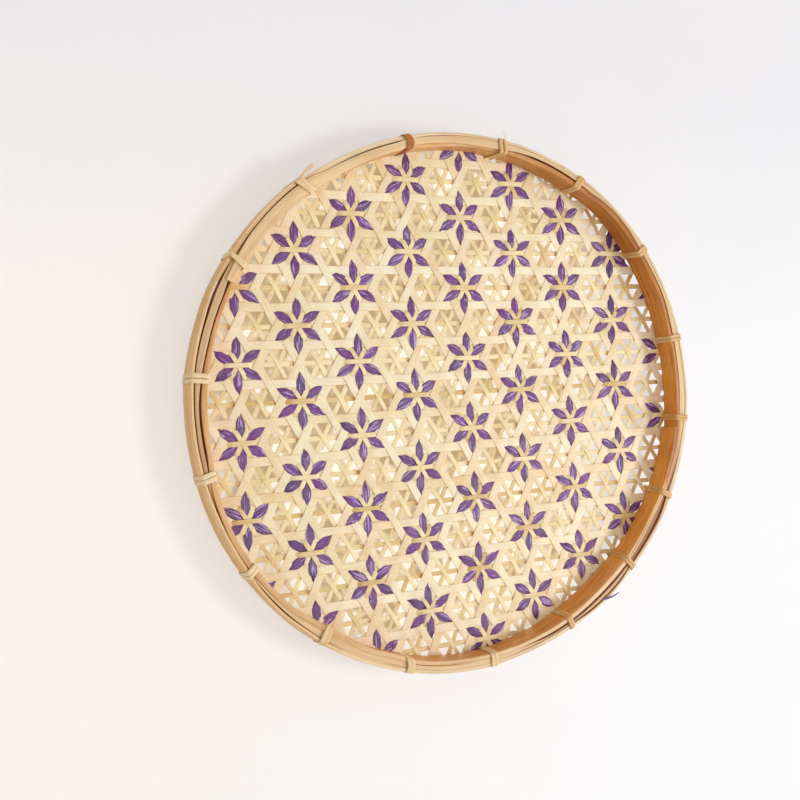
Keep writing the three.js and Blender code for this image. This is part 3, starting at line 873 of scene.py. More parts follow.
@dataclass(frozen=True)
class Weave:
    """The star weave: where each splint lies and how high it stands over its middle plane.

    Half is half the distance between flowers. Wide splints run at odd halves of it and narrow ones at
    whole ones, in three directions 60 degrees apart. Purple splints run 30 degrees off them, through the
    flowers. Wide, narrow and purple are a splint's width, thickness and crown. A pair of numbers named
    for a rise or fall is where it starts and how long it is. For purple splints these, and the reach of
    a step, are shares of half.
    """

    spacing: float = 45.45
    flower_x: float = -29.9
    flower_z: float = 1.9
    turn: float = 3.8
    wide: Triple = (5.3, 0.36, 0.05)
    narrow: Triple = (3.0, 0.32, 0.05)
    purple: Triple = (5.5, 0.24, 0.4)
    wide_wave: float = 0.2
    wide_lift: float = 0.08
    narrow_low: float = -0.62
    narrow_high: float = 0.95
    narrow_cell: float = 0.45
    narrow_step: float = 0.3
    narrow_fall: Pair = (11.0, -5.0)
    cell_reach: float = 9.0
    purple_middle: float = 0.1
    purple_high: float = 0.4
    purple_low: float = -0.8
    purple_step: float = 0.2
    purple_rise: Pair = (0.0, 0.4)
    purple_fall: Pair = (0.6, 0.2)
    step_reach: float = 0.35
    petal_start: float = 12.2
    petal_taper: float = 5.6
    petal_least: float = 0.34

    @property
    def half(self) -> float:
        """Half the distance between neighbouring flowers."""
        return self.spacing / 2.0

    def pitch(self, kind: Kind) -> Pair:
        """The distance between a kind's splints, and that of the first one from a flower."""
        return {Kind.WIDE: (self.half, self.half / 2.0), Kind.NARROW: (self.half, 0.0),
                Kind.PURPLE: (self.half * math.sqrt(3.0), 0.0)}[kind]

    def size(self, kind: Kind) -> Triple:
        """Width, thickness and crown of a splint of that kind."""
        return {Kind.WIDE: self.wide, Kind.NARROW: self.narrow, Kind.PURPLE: self.purple}[kind]

    def from_flower(self, splints: SplintSet, offset: float, along: Array) -> Array:
        """Finds the signed distance along a narrow or purple splint from the nearest flower on it.

        Flowers repeat along it with a period of twice half for purple and of twice half times the root of
        three for narrow, and every other row starts half a period later.

        Args:
            splints: The set that the splint is in.
            offset: Its distance from the middle flower, square to its run.
            along: Places along it, from the foot of that distance.

        Returns:
            The distance at each place.
        """
        period = 2.0 * self.half * (math.sqrt(3.0) if splints.kind is Kind.NARROW else 1.0)
        start = (round(offset / self.pitch(splints.kind)[0]) % 2) * period / 2.0
        return (along - start + period / 2.0) % period - period / 2.0

    def petal(self, away: Array) -> Array:
        """Narrows a purple splint: full width up to petal_start from a flower, then less, evenly."""
        share = (np.abs(away) - self.petal_start) / self.petal_taper
        return np.clip(1.0 - share, self.petal_least, 1.0)

    def height(self, splints: SplintSet, offset: float, along: Array) -> Array:
        """Finds how far in front of the middle plane a splint runs.

        Wide: a cosine wave, so that each passes over one neighbour and under the next. Narrow: high over
        the purple at a flower, low under the wide crossings, and a little up in a plain cell. Purple: over
        the wide splint beside a flower, under everything where two wide ones cross behind it.

        Args:
            splints: The set that the splint is in.
            offset: Its distance from the middle flower, square to its run.
            along: Places along it, from the foot of that distance.

        Returns:
            The height at each place.
        """
        if splints.kind is Kind.WIDE:
            other = 60.0 if splints.run == 0.0 else 0.0
            between = np.radians(other - splints.run)
            x = 2.0 * np.pi * ((offset * np.cos(between) - along * np.sin(between)) / self.half)
            return splints.order * self.wide_wave * np.cos(x) + self.wide_lift * np.cos(2.0 * x)
        away = np.abs(self.from_flower(splints, offset, along))
        if splints.kind is Kind.NARROW:
            cell = hill(away - 2.0 * self.half / math.sqrt(3.0), self.cell_reach)
            top = self.narrow_high + self.narrow_step * splints.order
            low = self.narrow_low + cell * (self.narrow_cell + self.narrow_step * splints.cell)
            return low + (top - self.narrow_low) * ramp(away, *self.narrow_fall)
        away = away / self.half
        high = self.purple_middle + (self.purple_high - self.purple_middle) * ramp(away, *self.purple_rise)
        wave = high + (self.purple_low - high) * ramp(away, *self.purple_fall)
        return wave + self.purple_step * splints.order * hill(away, self.step_reach)


@dataclass(frozen=True)
class Wander:
    """How unevenly splints are split and woven.

    A number alone is the spread of a value that each splint has once. A pair is the wavelength and size
    of a ripple along it.
    """

    shift: float = 0.22
    drift: Pair = (70.0, 0.2)
    slant: float = 0.08
    width: float = 0.045
    waist: Pair = (60.0, 0.03)
    twist: Pair = (26.0, 0.03)
    purple_twist: Pair = (26.0, 0.07)
    lift: Pair = (31.0, 0.04)
    tone: float = 0.5
    tone_change: Pair = (60.0, 0.35)


@dataclass
class Mat:
    """The woven mat. It lies flat inside the rim and bends up towards the viewer between the hoops."""

    tray: Tray
    run: RimRun
    weave: Weave = field(default_factory=Weave)
    wander: Wander = field(default_factory=Wander)

    # The bend, and how far past its start the mat ends and its turned-up ends start and stop.
    bend_back: float = 2.2
    least_bend: float = 5.2
    bend_radius: float = 2.5
    mat_end: float = 4.4
    end_start: float = 3.9
    end_length: float = 10.2
    end_ragged: float = 2.2
    end_longest: float = 22.0
    end_stations: int = 7
    end_tones: Pair = (-0.6, 1.0)
    # Painted shade: how dark the turned-up ends are, how dark the splints get where they rise between the
    # hoops, and, as start and length, how far in front of the mat that shade comes in.
    end_gap_shade: float = 0.75
    between_hoops_shade: float = 0.8
    behind: Pair = (-0.5, -4.0)

    # How splints are looked for: places from -half_span to half_span, a probe apart.
    half_span: float = 230.0
    probe: float = 0.25
    least_probes: int = 40
    well_inside: float = 3.0
    step: float = 1.25
    least_stations: int = 8
    grain_apart: float = 37.0

    # Painted shade where a narrow splint dips under a crossing, with the least and greatest strength.
    dip_shade_place: float = 35.2
    dip_shade_reach: float = 2.6
    dip_shade_shift: float = 0.6
    dip_shade_count: int = 64
    level_dip_shades: Pair = (0.35, 1.0)
    other_dip_shades: Pair = (-1.2, 0.5)

    # The dish near the rim, and smooth steps of the inset, as start and length: up to the first the
    # weave is pressed flat, and up to the second the mat doesn't sway.
    dish: float = 4.5
    dish_start: float = 8.0
    dish_width: float = 55.0
    dish_power: float = 1.5
    calm: Pair = (9.0, 12.0)
    sway: Pair = (14.0, 30.0)
    seen_from: Triple = (-365.0, -619.0, -29.0)
    seed: int = 7

    SECTION_ACROSS = np.array([-0.5, -0.485, -0.43, -0.15, 0.15, 0.43, 0.485, 0.5, 0.47, 0.2, -0.2, -0.47])
    SECTION_UP = np.array([-0.1, 0.4, 0.5, 0.5, 0.5, 0.5, 0.4, -0.1, -0.5, -0.5, -0.5, -0.5])
    SECTION_EDGE = np.array([1.0, 1.0, 0.0, 0.0, 0.0, 0.0, 1.0, 1.0, 0.4, 0.0, 0.0, 0.4])
    SECTION_FRONT = 8

    def bend_start(self, angle: Array) -> Array:
        """The inset where the mat starts to bend, a little behind the inside of the inner hoop."""
        return np.maximum(self.run.inner_rear.at(angle) - self.bend_back, self.least_bend)

    def dished(self, x: Array, z: Array) -> tuple[Array, Array]:
        """Moves places near the rim as the mat's slight dish shows from the camera's side.

        The dish rises by a power of 1.5 over its width. A rise is seen as a shift away from the foot of
        the camera, by the rise times the place's distance from that foot over the camera's distance.

        Args:
            x: Across, from the tray's centre.
            z: Upwards, from the tray's centre.

        Returns:
            The moved x and z.
        """
        inset = self.tray.radius(np.degrees(np.arctan2(z, x))) - np.hypot(x, z)
        share = np.clip(1.0 - (inset - self.dish_start) / self.dish_width, 0.0, 1.0)
        rise = self.dish * share ** self.dish_power
        foot_x, away, foot_z = self.seen_from
        return x - rise * (x - foot_x) / away, z - rise * (z - foot_z) / away

    def over(self, x: Array, z: Array) -> Array:
        """Finds how far past the start of the bend a place in the flat mat is.

        Args:
            x: Across, from the tray's centre.
            z: Upwards, from the tray's centre.

        Returns:
            The distance, negative inside the bend.
        """
        x, z = self.dished(x, z)
        angle = np.degrees(np.arctan2(z, x))
        return self.bend_start(angle) - self.tray.radius(angle) + np.hypot(x, z)

    def lay(self, x: Array, z: Array, up: Array) -> Array:
        """Lays places of the flat mat on the real one.

        Inside the bend a place keeps its x and z, and the mat sways by sines of x, z and their sum. Past
        the start of the bend, its way out is wound round a quarter circle and then goes straight towards
        the viewer. Up is measured along the surface's own normal, and is halved near the rim.

        Args:
            x: Across, from the tray's centre.
            z: Upwards, from the tray's centre.
            up: Height in front of the middle plane.

        Returns:
            The places as x, y, z.
        """
        x, z = self.dished(x, z)
        angle = np.degrees(np.arctan2(z, x))
        inset = self.tray.radius(angle) - np.hypot(x, z)
        start = self.bend_start(angle)
        past = np.maximum(start - inset, 0.0)
        turn = np.minimum(past / self.bend_radius, np.pi / 2.0)
        rise = self.bend_radius * (1.0 - np.cos(turn))
        rise = rise + np.maximum(past - self.bend_radius * np.pi / 2.0, 0.0)
        up = up * (0.5 + 0.5 * ramp(inset, *self.calm))
        sway = 0.22 * np.sin(x / 41.0 + 0.7) * np.cos(z / 33.0 - 0.4) + 0.16 * np.sin((x + z) / 19.0)
        level = self.tray.mat_level + sway * ramp(inset, *self.sway)
        new_inset = np.where(past > 0.0, start - self.bend_radius * np.sin(turn), inset)
        new_inset = new_inset + up * np.sin(turn)
        return self.tray.point(angle, new_inset, level - rise - up * np.cos(turn))

    def flat_place(self, splints: SplintSet, side: Array, along: Array) -> tuple[Array, Array]:
        """Finds places beside and along a set's run, turned by the run and set out from a flower.

        Args:
            splints: The set.
            side: Distance from the middle flower, square to the run.
            along: Distance from the foot of that, along the run.

        Returns:
            The x and z of each place, from the tray's centre.
        """
        run = math.radians(splints.run + self.weave.turn)
        x = self.weave.flower_x + along * math.cos(run) - side * math.sin(run)
        return x, self.weave.flower_z + along * math.sin(run) + side * math.cos(run)

    def rings(self, splints: SplintSet, offset: float, along: Array, rng: Draws) -> Array:
        """Skins one splint: a flat lens carried along a line of the weave, with slight wander and twist.

        Args:
            splints: The set that the splint is in.
            offset: Its distance from the middle flower, square to its run.
            along: Stations along it.
            rng: Source of its wander, twist and width.

        Returns:
            Rings as stations by points round by 3.
        """
        own, purple = self.wander, splints.kind is Kind.PURPLE
        width, thick, crown = self.weave.size(splints.kind)
        wander = own.shift * rng.normal() + ripple(along, rng, *own.drift)
        slant = math.radians(own.slant * rng.normal())
        width = width * (1.0 + own.width * rng.normal()) * (1.0 + ripple(along, rng, *own.waist))
        if purple:
            width = width * self.weave.petal(self.weave.from_flower(splints, offset, along))
        twist = ripple(along, rng, *(own.purple_twist if purple else own.twist))
        rise = self.weave.height(splints, offset, along)
        rise = rise + ripple(along, rng, *own.lift)
        across = self.SECTION_ACROSS * width[:, None]
        up = rise[:, None] + thick * self.SECTION_UP + across * twist[:, None]
        up = up + crown * (width[:, None] / width.max()) * (0.5 - 2.0 * self.SECTION_ACROSS ** 2)
        side = offset + (wander + slant * along)[:, None] + across
        return self.lay(*self.flat_place(splints, side, along[:, None]), up)

    def reach(self, splints: SplintSet, offset: float, limit: float) -> Pair | None:
        """Finds where along a splint the mat ends: its first and last place short of limit past the bend.

        Args:
            splints: The set that the splint is in.
            offset: Its distance from the middle flower.
            limit: Distance past the start of the bend.

        Returns:
            The first and last place, or None where less than a short chord of it is in the tray.
        """
        along = np.arange(-self.half_span, self.half_span, self.probe)
        past = self.over(*self.flat_place(splints, offset, along))
        if np.count_nonzero(past < -self.well_inside) < self.least_probes:
            return None
        inside = along[past < limit]
        return float(inside[0]), float(inside[-1])

    def crossing(self, splints: SplintSet, limit: float) -> Iterator[tuple[int, float, Pair]]:
        """Goes through the splints of a set that cross the tray.

        Args:
            splints: The set.
            limit: Distance past the start of the bend where they end.

        Yields:
            Each splint's number, its distance from the middle flower, and its ends.
        """
        pitch, first = self.weave.pitch(splints.kind)
        rows = int(self.half_span / pitch) + 1
        for number, row in enumerate(range(-rows, rows + 1)):
            ends = self.reach(splints, first + pitch * row, limit)
            if ends is not None:
                yield number, first + pitch * row, ends

    def draws(self, splints: SplintSet, number: int) -> Draws:
        """Starts one splint's own random draws, the same for its run in the mat and for its ends."""
        return np.random.default_rng([self.seed, int(splints.run), number, len(splints.kind.value)])

    def way_round(self) -> Array:
        """Each section point's place on the way round: 0 to a half over the front and on to 1 behind."""
        front = (0.5 - self.SECTION_ACROSS) / 2.0
        return np.where(np.arange(len(front)) < self.SECTION_FRONT, front, 1.0 - front)

    def dip_shades(self, splints: SplintSet, offset: float, along: Array, rng: Draws) -> Array:
        """Finds the painted shade on a narrow splint where it dips under a crossing.

        There is one soft spot of painted shade in each period, a set distance past a flower and of uneven
        strength. Splints that run level have more of them.

        Args:
            splints: The set that the splint is in.
            offset: Its distance from the middle flower.
            along: Places along it.
            rng: Source of the strengths.

        Returns:
            The share of painted shade at each place.
        """
        if splints.kind is not Kind.NARROW:
            return np.zeros_like(along)
        period = 2.0 * math.sqrt(3.0) * self.weave.half
        past = self.weave.from_flower(splints, offset, along - self.dip_shade_place)
        cell = np.round((along - self.dip_shade_place - past) / (period / 2.0)).astype(int)
        strengths = self.level_dip_shades if splints.run == 0.0 else self.other_dip_shades
        strength = rng.uniform(*strengths, self.dip_shade_count)[cell % self.dip_shade_count]
        shifted = past + self.dip_shade_shift * np.sin(3.0 * cell)
        return np.maximum(strength, 0.0) * hill(shifted, self.dip_shade_reach)

    def weave_set(self, splints: SplintSet, finish: Material) -> None:
        """Makes one set of splints as a piece and hands it in for its CAD node.

        Args:
            splints: The set.
            finish: Its material.
        """
        mesh = StrandMesh(splints.node.replace("splints", "splint_weave"))
        for number, offset, ends in self.crossing(splints, self.mat_end):
            rng = self.draws(splints, number)
            along = np.linspace(*ends, max(self.least_stations, round((ends[1] - ends[0]) / self.step)))
            tone = float(np.clip(self.wander.tone * rng.normal(), -1.0, 1.0))
            rings = self.rings(splints, offset, along, rng)
            # Painted shade on the parts that rise between the hoops.
            behind = ramp(rings[..., 1].max(axis=1) - self.tray.mat_level, *self.behind)
            tone = tone + ripple(along, rng, *self.wander.tone_change)[:, None]
            # The node mask is painted shade where a narrow splint dips under a crossing.
            mesh.add(rings, along + self.grain_apart * number, self.way_round(), tone=tone,
                     edge=self.SECTION_EDGE, node=self.dip_shades(splints, offset, along, rng)[:, None],
                     gap=self.between_hoops_shade * behind[:, None])
        hand_in(mesh.build(finish), f"{splints.kind.value}_splint", splints.node)

    def turned_ends(self, finish: Material) -> None:
        """Makes the ragged ends of all the splints, which stand up between the hoops.

        Args:
            finish: Their material.
        """
        mesh = StrandMesh("turned_up_ends")
        rng = np.random.default_rng(self.seed + 1)
        for splints in SPLINT_SETS:
            for number, offset, mat in self.crossing(splints, self.end_start):
                top = self.reach(splints, offset, self.end_length - self.end_ragged * rng.random())
                same = self.draws(splints, number)
                for start, stop in zip(mat, top):
                    stop = start + np.clip(stop - start, -self.end_longest, self.end_longest)
                    along = np.linspace(start, stop, self.end_stations)
                    # The ends also take painted shade, as they stand deep between the hoops.
                    mesh.add(self.rings(splints, offset, along, same), along, self.way_round(),
                             tone=rng.uniform(*self.end_tones), gap=self.end_gap_shade)
        hand_in(mesh.build(finish), "edge_splint", "turned_up_splint_ends")


# Rim


def strip_section(arc_points: int = 4, side_points: int = 5) -> tuple[Array, Array, Array]:
    """Lays out a rounded oblong: four corner arcs joined by two long sides.

    Args:
        arc_points: Points on each corner arc.
        side_points: Points on each long side, between its arcs.

    Returns:
        For each point, which way its arc's centre lies across and up (-1 to 1), and its arc angle.
    """
    arc, side = np.ones(arc_points), np.ones(side_points)
    quarter = np.linspace(0.0, 90.0, arc_points)
    inner = np.linspace(1.0, -1.0, side_points + 2)[1:-1]
    across = [arc, -arc, -side, -arc, arc, side]
    up = [arc, arc, inner, -arc, -arc, -inner]
    turn = [quarter, quarter + 90.0, 180.0 * side, quarter + 180.0, quarter + 270.0, 360.0 * side]
    return np.concatenate(across), np.concatenate(up), np.radians(np.concatenate(turn))


@dataclass
class StripRun:
    """Where a bent strip goes and how much painted light and shade it takes, at each of its stations.

    It has the station's angle, which runs past a full turn at a lap, the inset of its outside at its
    front and rear edge, its thickness, and the depths of those edges. Then come how much painted shade it
    takes from the gaps that its two sides look into, how much painted light and shade its face colour
    gives its front and sides, and how much more painted shade darkens the inner hoop's front and inside.
    """

    angle: Array
    outer: Array
    outer_rear: Array
    thick: Array
    front: Array
    rear: Array
    gap_shade_outside: Array | float = 0.0
    gap_shade_inside: Array | float = 0.0
    painted_light_and_shade: Array | float = 0.0
    painted_dusk: Array | float = 0.0


@dataclass
class BentStrip:
    """A strip of split bamboo bent round the rim: a rounded oblong carried along the oval.

    Inner_face tells whether its inside is the one that is seen in the tray, and rings_at where the
    bamboo had its joints. Uneven, swell, edge_waver and skin are ripples, as wavelength and size, of its
    place, thickness, front edge and surface, and tone is one with its wavelength in degrees. The depths
    where the gaps' painted shade and the inside's face colour come in are smooth steps behind the front
    edge, as start and length, and worn_depth is how far the pale worn band of that edge reaches.
    Widest_corner holds a corner to shares of the thickness and half height.
    """

    tray: Tray
    name: str
    node: str
    slot: str
    seed: int
    corner: float
    belly: float = 0.0
    uneven: Pair = (90.0, 0.05)
    swell: Pair = (160.0, 0.03)
    edge_waver: Pair = (75.0, 0.15)
    skin: Pair = (55.0, 0.05)
    skin_apart: float = 260.0
    inner_face: bool = False
    rings_at: tuple[float, ...] = ()
    ring_reach: float = 0.7
    ring_rise: float = 0.25
    gap_shade_depth: Pair = (0.05, 0.6)
    tray_depth: Pair = (-0.2, 1.2)
    worn_depth: float = 0.8
    smudge_at: float = 27.0
    smudge_reach: float = 26.0
    smudge_length: float = 6.0
    side_slope: float = 1.5
    side_start: float = 0.2
    front_painted_shade: Pair = (0.6, 0.4)
    stain_share: float = 0.6
    worn_share: float = 0.8
    worn_spared: float = 0.9
    widest_corner: Pair = (0.48, 0.9)
    tone: Pair = (80.0, 0.3)
    # The inner hoop's inside takes its face colour round the rim partly as painted light and shade, most at
    # the right and least at the top.
    browned_with_painted_light: Knots = Knots(((0, 1.0), (55, 1.0), (75, 0.6), (90, 0.45), (128, 0.5), (150, 0.7), (180, 0.8),
                            (240, 0.8), (262, 0.85), (290, 0.95)))

    def masks(self, run: StripRun, y: Array, out: Array, node: Array, rng: Draws) -> dict:
        """Works out what the finish needs at each point of the strip.

        Painted shade darkens the sides that look into gaps, fast with depth. The inside of the inner hoop
        takes more of the face colour than its front, partly as painted light and shade round the rim, with
        smudges at the upper right. The face colour also paints light on the outer hoop and shade on the
        filler and the inner hoop's front, and painted shade in the node colour falls on the inner hoop's
        front and inside. The front edge is worn pale.

        Args:
            run: The strip's stations.
            y: Depth of each point.
            out: How far each point is from the middle of the thickness, outwards, in half thicknesses.
            node: How near each station is to a bamboo joint.
            rng: Source of the smudges.

        Returns:
            The masks by name.
        """
        below = y - run.front[:, None]
        outside, inside = (ease(way * self.side_slope - self.side_start) for way in (out, -out))
        gap_shade_out, gap_shade_in, painted_light_and_shade, painted_dusk = (
            np.broadcast_to(value, run.angle.shape)[:, None]
            for value in (run.gap_shade_outside, run.gap_shade_inside, run.painted_light_and_shade, run.painted_dusk))
        # Painted shade on the sides that look into gaps.
        gap = ramp(below, *self.gap_shade_depth) * (gap_shade_out * outside + gap_shade_in * inside)
        tray_side = inside * ramp(below, *self.tray_depth) * float(self.inner_face)
        # The face colour: the inner hoop's own inside, and painted light and shade on the strips.
        face = np.maximum(tray_side * self.browned_with_painted_light.at(run.angle)[:, None], painted_light_and_shade)
        smudge = np.maximum(ripple(run.angle, rng, self.smudge_length), 0.0)
        smudge = hill(turn_from(run.angle, self.smudge_at), self.smudge_reach) * smudge
        # Painted shade in the node colour on the inner hoop's front, and more on its front and inside.
        front_painted_shade = ramp(painted_light_and_shade, *self.front_painted_shade) * (1.0 - tray_side) * float(self.inner_face)
        stain = np.maximum(smudge[:, None] * tray_side, front_painted_shade)
        stain = np.maximum(self.stain_share * stain, painted_dusk * np.maximum(tray_side, painted_light_and_shade))
        worn = ramp(below, self.worn_depth, -self.worn_depth) * (1.0 - self.worn_spared * painted_light_and_shade)
        return {"tone": ripple(run.angle, rng, *self.tone)[:, None], "gap": gap, "face": face,
                "node": self.stain_share * node[:, None] + stain, "edge": self.worn_share * worn}

    def build(self, run: StripRun, finish: Material) -> None:
        """Carries the section round the rim and hands the strip in for its CAD node.

        A point lies at the strip's middle line plus its share of the half thickness and half height, less
        the corner radius, plus that radius turned by the corner's angle. The inset goes evenly from its
        value at the front edge to that at the rear one, the outside has a slight belly, and the whole
        strip wavers a little.

        Args:
            run: The strip's stations.
            finish: Its material.
        """
        rng = np.random.default_rng(self.seed)
        across, up, turn = strip_section()
        distance = np.radians(run.angle - run.angle[0]) * self.tray.mean_radius
        node = sum((hill(turn_from(run.angle, a), self.ring_reach) for a in self.rings_at),
                   np.zeros_like(run.angle))
        thick = (run.thick * (1.0 + ripple(distance, rng, *self.swell)) + self.ring_rise * node)[:, None]
        front = (run.front + ripple(distance, rng, *self.edge_waver))[:, None]
        shift = ripple(distance, rng, *self.uneven)
        half_thick, half_high = thick / 2.0, (run.rear[:, None] - front) / 2.0
        of_thick, of_high = self.widest_corner
        corner = np.minimum(np.minimum(self.corner, of_thick * thick), of_high * half_high)
        out = across * (half_thick - corner) + corner * np.cos(turn)
        forward = up * (half_high - corner) + corner * np.sin(turn)
        share = forward / half_high
        out = out + self.belly * (1.0 - share ** 2) * (across > 0.0)
        out = out + ripple(distance[:, None] + self.skin_apart * share, rng, *self.skin)
        slope = (run.outer_rear - run.outer)[:, None] * (1.0 - share) / 2.0
        inset = (run.outer + shift)[:, None] + slope + half_thick - out
        y = (run.rear[:, None] + front) / 2.0 - forward
        rings = self.tray.point(run.angle[:, None], inset, y)
        side = np.linalg.norm(np.diff(rings[0], axis=0, append=rings[0][:1]), axis=-1)
        way = np.concatenate([[0.0], np.cumsum(side)[:-1]]) / side.sum()
        mesh = StrandMesh(self.name)
        mesh.add(rings, distance, way, **self.masks(run, y, out / half_thick, node, rng))
        hand_in(mesh.build(finish), self.slot, self.node)


@dataclass
class Rim:
    """The three bent strips of the rim.

    A strip's angle runs on past 360 degrees where its second end laps its first. The pairs are smooth
    steps, as start and length, but for first_drop and the plies.
    """

    tray: Tray
    run: RimRun
    step: float = 0.6
    sunk: float = 0.1
    narrow_gap: float = 0.12
    wide_gap: float = 0.5

    # The outer hoop. The steps are turns past lap_start for lap_under, shares of the free tail for its
    # own, and turns past lap_end for the rest.
    lap_start: float = 128.0
    lap_end: float = 159.0
    lap_rise: float = 0.6
    lap_taper: float = 9.0
    lap_under: Pair = (359.0, 5.0)
    outer_ply: float = 1.2
    outer_thins: Pair = (353.0, 7.0)
    outer_thinned: float = 0.7
    outer_stops: Pair = (359.0, 1.0)
    outer_cut: float = 2.0
    outer_joint: float = 65.0
    tail: float = 4.2
    tail_swell: float = 0.45
    tail_spring: float = 2.9
    tail_height: float = 3.6
    tail_drop: float = 0.4
    tail_narrows: Pair = (0.0, 0.2)
    tip: Pair = (0.875, 0.125)
    tip_cut: float = 0.15

    # The filler. A ply is an end's thickness and how much it changes over the strip's whole run, and
    # first_drop is how far the first end lies behind the front, and how much more in the lap.
    filler_start: float = 127.5
    first_stops: Pair = (156.0, 6.0)
    first_rises: Pair = (151.0, 4.0)
    first_drop: Pair = (0.3, 2.3)
    filler_lapped: Pair = (150.0, 3.0)
    outer_side_ply: Pair = (1.4, -1.0)
    inner_side_ply: Pair = (4.2, -0.6)
    broad_widens: Pair = (77.0, 5.0)
    broad_end: float = 158.2
    broad_depth: float = 2.3
    broad_proud: float = 1.0
    broad_over: Pair = (103.0, 5.0)

    # The inner hoop. The steps are angles where it dips under the broad slat and comes back, turns past
    # its first end for inner_under, and turns past inner_lap_end for the rest. Inner_lap is how far its
    # ends lap.
    inner_lap_end: float = 354.3
    inner_lap: float = 35.1
    inner_dips: Pair = (79.0, 4.0)
    inner_returns: Pair = (159.7, -3.0)
    inner_upper: Pair = (8.0, -10.0)
    inner_under: Pair = (358.6, 3.0)
    inner_swells: Pair = (345.0, 12.0)
    inner_swell: float = 0.25

    def stations(self, start: float, end: float) -> Array:
        """Evenly spaced angles from start to end."""
        return np.linspace(start, end, int((end - start) / self.step) + 1)

    def dark(self, gap: Array) -> Array:
        """How much painted shade a gap of that width gives: none up to narrow_gap and all from wide_gap."""
        return ramp(gap, self.narrow_gap, self.wide_gap - self.narrow_gap)

    def outer_hoop(self, finish: Material) -> None:
        """Makes the outer hoop. Its ends lap, and past its tie the outer end springs free as a sliver.

        Args:
            finish: Its material.
        """
        angle = self.stations(self.lap_start, self.lap_end + 360.0)
        upper = ramp(angle, self.lap_end + self.lap_taper, -self.lap_taper)
        under = ramp(angle - self.lap_start, *self.lap_under)
        free = np.clip((self.lap_start + self.tail - angle) / self.tail, 0.0, 1.0)
        tip = ramp(free, *self.tip)
        whole = self.run.outer_thick.at(angle)
        thick = whole + (self.outer_ply - whole) * np.maximum(upper, under)
        thick = thick * (1.0 + self.tail_swell * free)
        thick = thick * (1.0 - self.outer_thinned * ramp(angle - self.lap_end, *self.outer_thins))
        shift = self.lap_rise * (under - upper) - self.tail_spring * (1.0 - (1.0 - free) ** 2)
        outer, outer_rear = (
            np.where(free > 0.0, edge.at(self.lap_start + self.tail), edge.at(angle)) + shift
            for edge in (self.run.outer_front, self.run.outer_rear))
        front = self.tray.front + self.sunk + self.tail_drop * tip
        rear = self.tray.rear - self.outer_cut * ramp(angle - self.lap_end, *self.outer_stops)
        sliver = self.tray.front + self.sunk + self.tail_height * (1.0 - self.tip_cut * tip)
        rear = rear + (sliver - rear) * ramp(free, *self.tail_narrows)
        # Painted shade where the hoop's inside looks into the first gap.
        dark = self.dark(self.run.outer_gap.at(angle)) * (1.0 - upper)
        strip = BentStrip(self.tray, "outer_hoop_bamboo", "outer_hoop", "hoop_bamboo", 11, corner=0.45,
                          belly=0.15, rings_at=(self.outer_joint,))
        # It takes its face colour as painted light on its left side, which the lamp leaves in shade.
        strip.build(StripRun(angle, outer, outer_rear, thick, front, rear, gap_shade_inside=dark,
                             painted_light_and_shade=self.run.outer_painted_light.at(angle)), finish)

    def filler(self, finish: Material) -> None:
        """Makes the filler: thin all round, then broad where its second end lies over the inner hoop.

        Args:
            finish: Its material.
        """
        angle = self.stations(self.filler_start, self.broad_end + 360.0)
        second = angle - 360.0
        first = 1.0 - ramp(angle, *self.first_stops)
        broad = ramp(second, *self.broad_widens)
        along = (angle - self.filler_start) / (self.broad_end - self.filler_start)
        ply = (start + change * along for start, change in (self.outer_side_ply, self.inner_side_ply))
        slat = (self.run.broad_outer.at(angle), self.run.broad_inner.at(angle))
        plain = (self.run.filler_outer(angle), self.run.filler_inner(angle))
        outer, inner = (a * first + b * broad + c * (1.0 - first - broad)
                        for a, b, c in zip(ply, slat, plain))
        least, more = self.first_drop
        drop = self.run.filler_drop.at(angle) * (1.0 - broad) * (1.0 - first)
        drop = drop + first * (least + more * (1.0 - ramp(angle, *self.first_rises)))
        front = self.tray.front + self.sunk + drop - self.broad_proud * ramp(second, *self.broad_over)
        rear = self.tray.filler_rear + (front + self.broad_depth - self.tray.filler_rear) * broad
        beside = outer - self.run.outer_front.at(angle) - self.run.outer_thick.at(angle)
        # Painted shade in the gaps on both sides of the filler.
        gap_shade_outside = self.dark(beside) * (1.0 - ramp(second, *self.filler_lapped))
        gap_shade_inside = self.dark(self.run.inner_gap.at(angle)) * (1.0 - broad) * (1.0 - first)
        strip = BentStrip(self.tray, "filler_strip_bamboo", "filler_strip", "filler_bamboo", 12, corner=0.4)
        # It takes a darker face colour as painted shade, most where it lies back at the lower right.
        strip.build(StripRun(angle, outer, outer, inner - outer, front, rear, gap_shade_outside, gap_shade_inside,
                             self.run.filler_painted_shade.at(angle) * (1.0 - broad)), finish)

    def inner_hoop(self, finish: Material) -> None:
        """Makes the inner hoop, lower where the broad slat lies over it, with its own end seen inside.

        Args:
            finish: Its material.
        """
        start = self.inner_lap_end - self.inner_lap
        angle = self.stations(start, self.inner_lap_end + 360.0)
        past = angle - self.inner_lap_end
        upper, under = ramp(past, *self.inner_upper), ramp(angle - start, *self.inner_under)
        outer, inner = self.run.inner_outer(angle), self.run.inner_front.at(angle)
        whole = inner - outer
        thick = whole * (1.0 - 0.5 * np.maximum(upper, under))
        thick = thick + self.inner_swell * ramp(past, *self.inner_swells)
        lean = self.run.inner_rear.at(angle) - inner
        outer = outer + 0.5 * whole * under
        wrapped = angle % 360.0
        covered = ramp(wrapped, *self.inner_dips) * ramp(wrapped, *self.inner_returns)
        proud = self.broad_proud * ramp(wrapped, *self.broad_over) * covered
        front = self.tray.front + self.sunk / 2.0 + self.broad_depth * covered - proud
        rear = np.full_like(angle, self.tray.inner_rear)
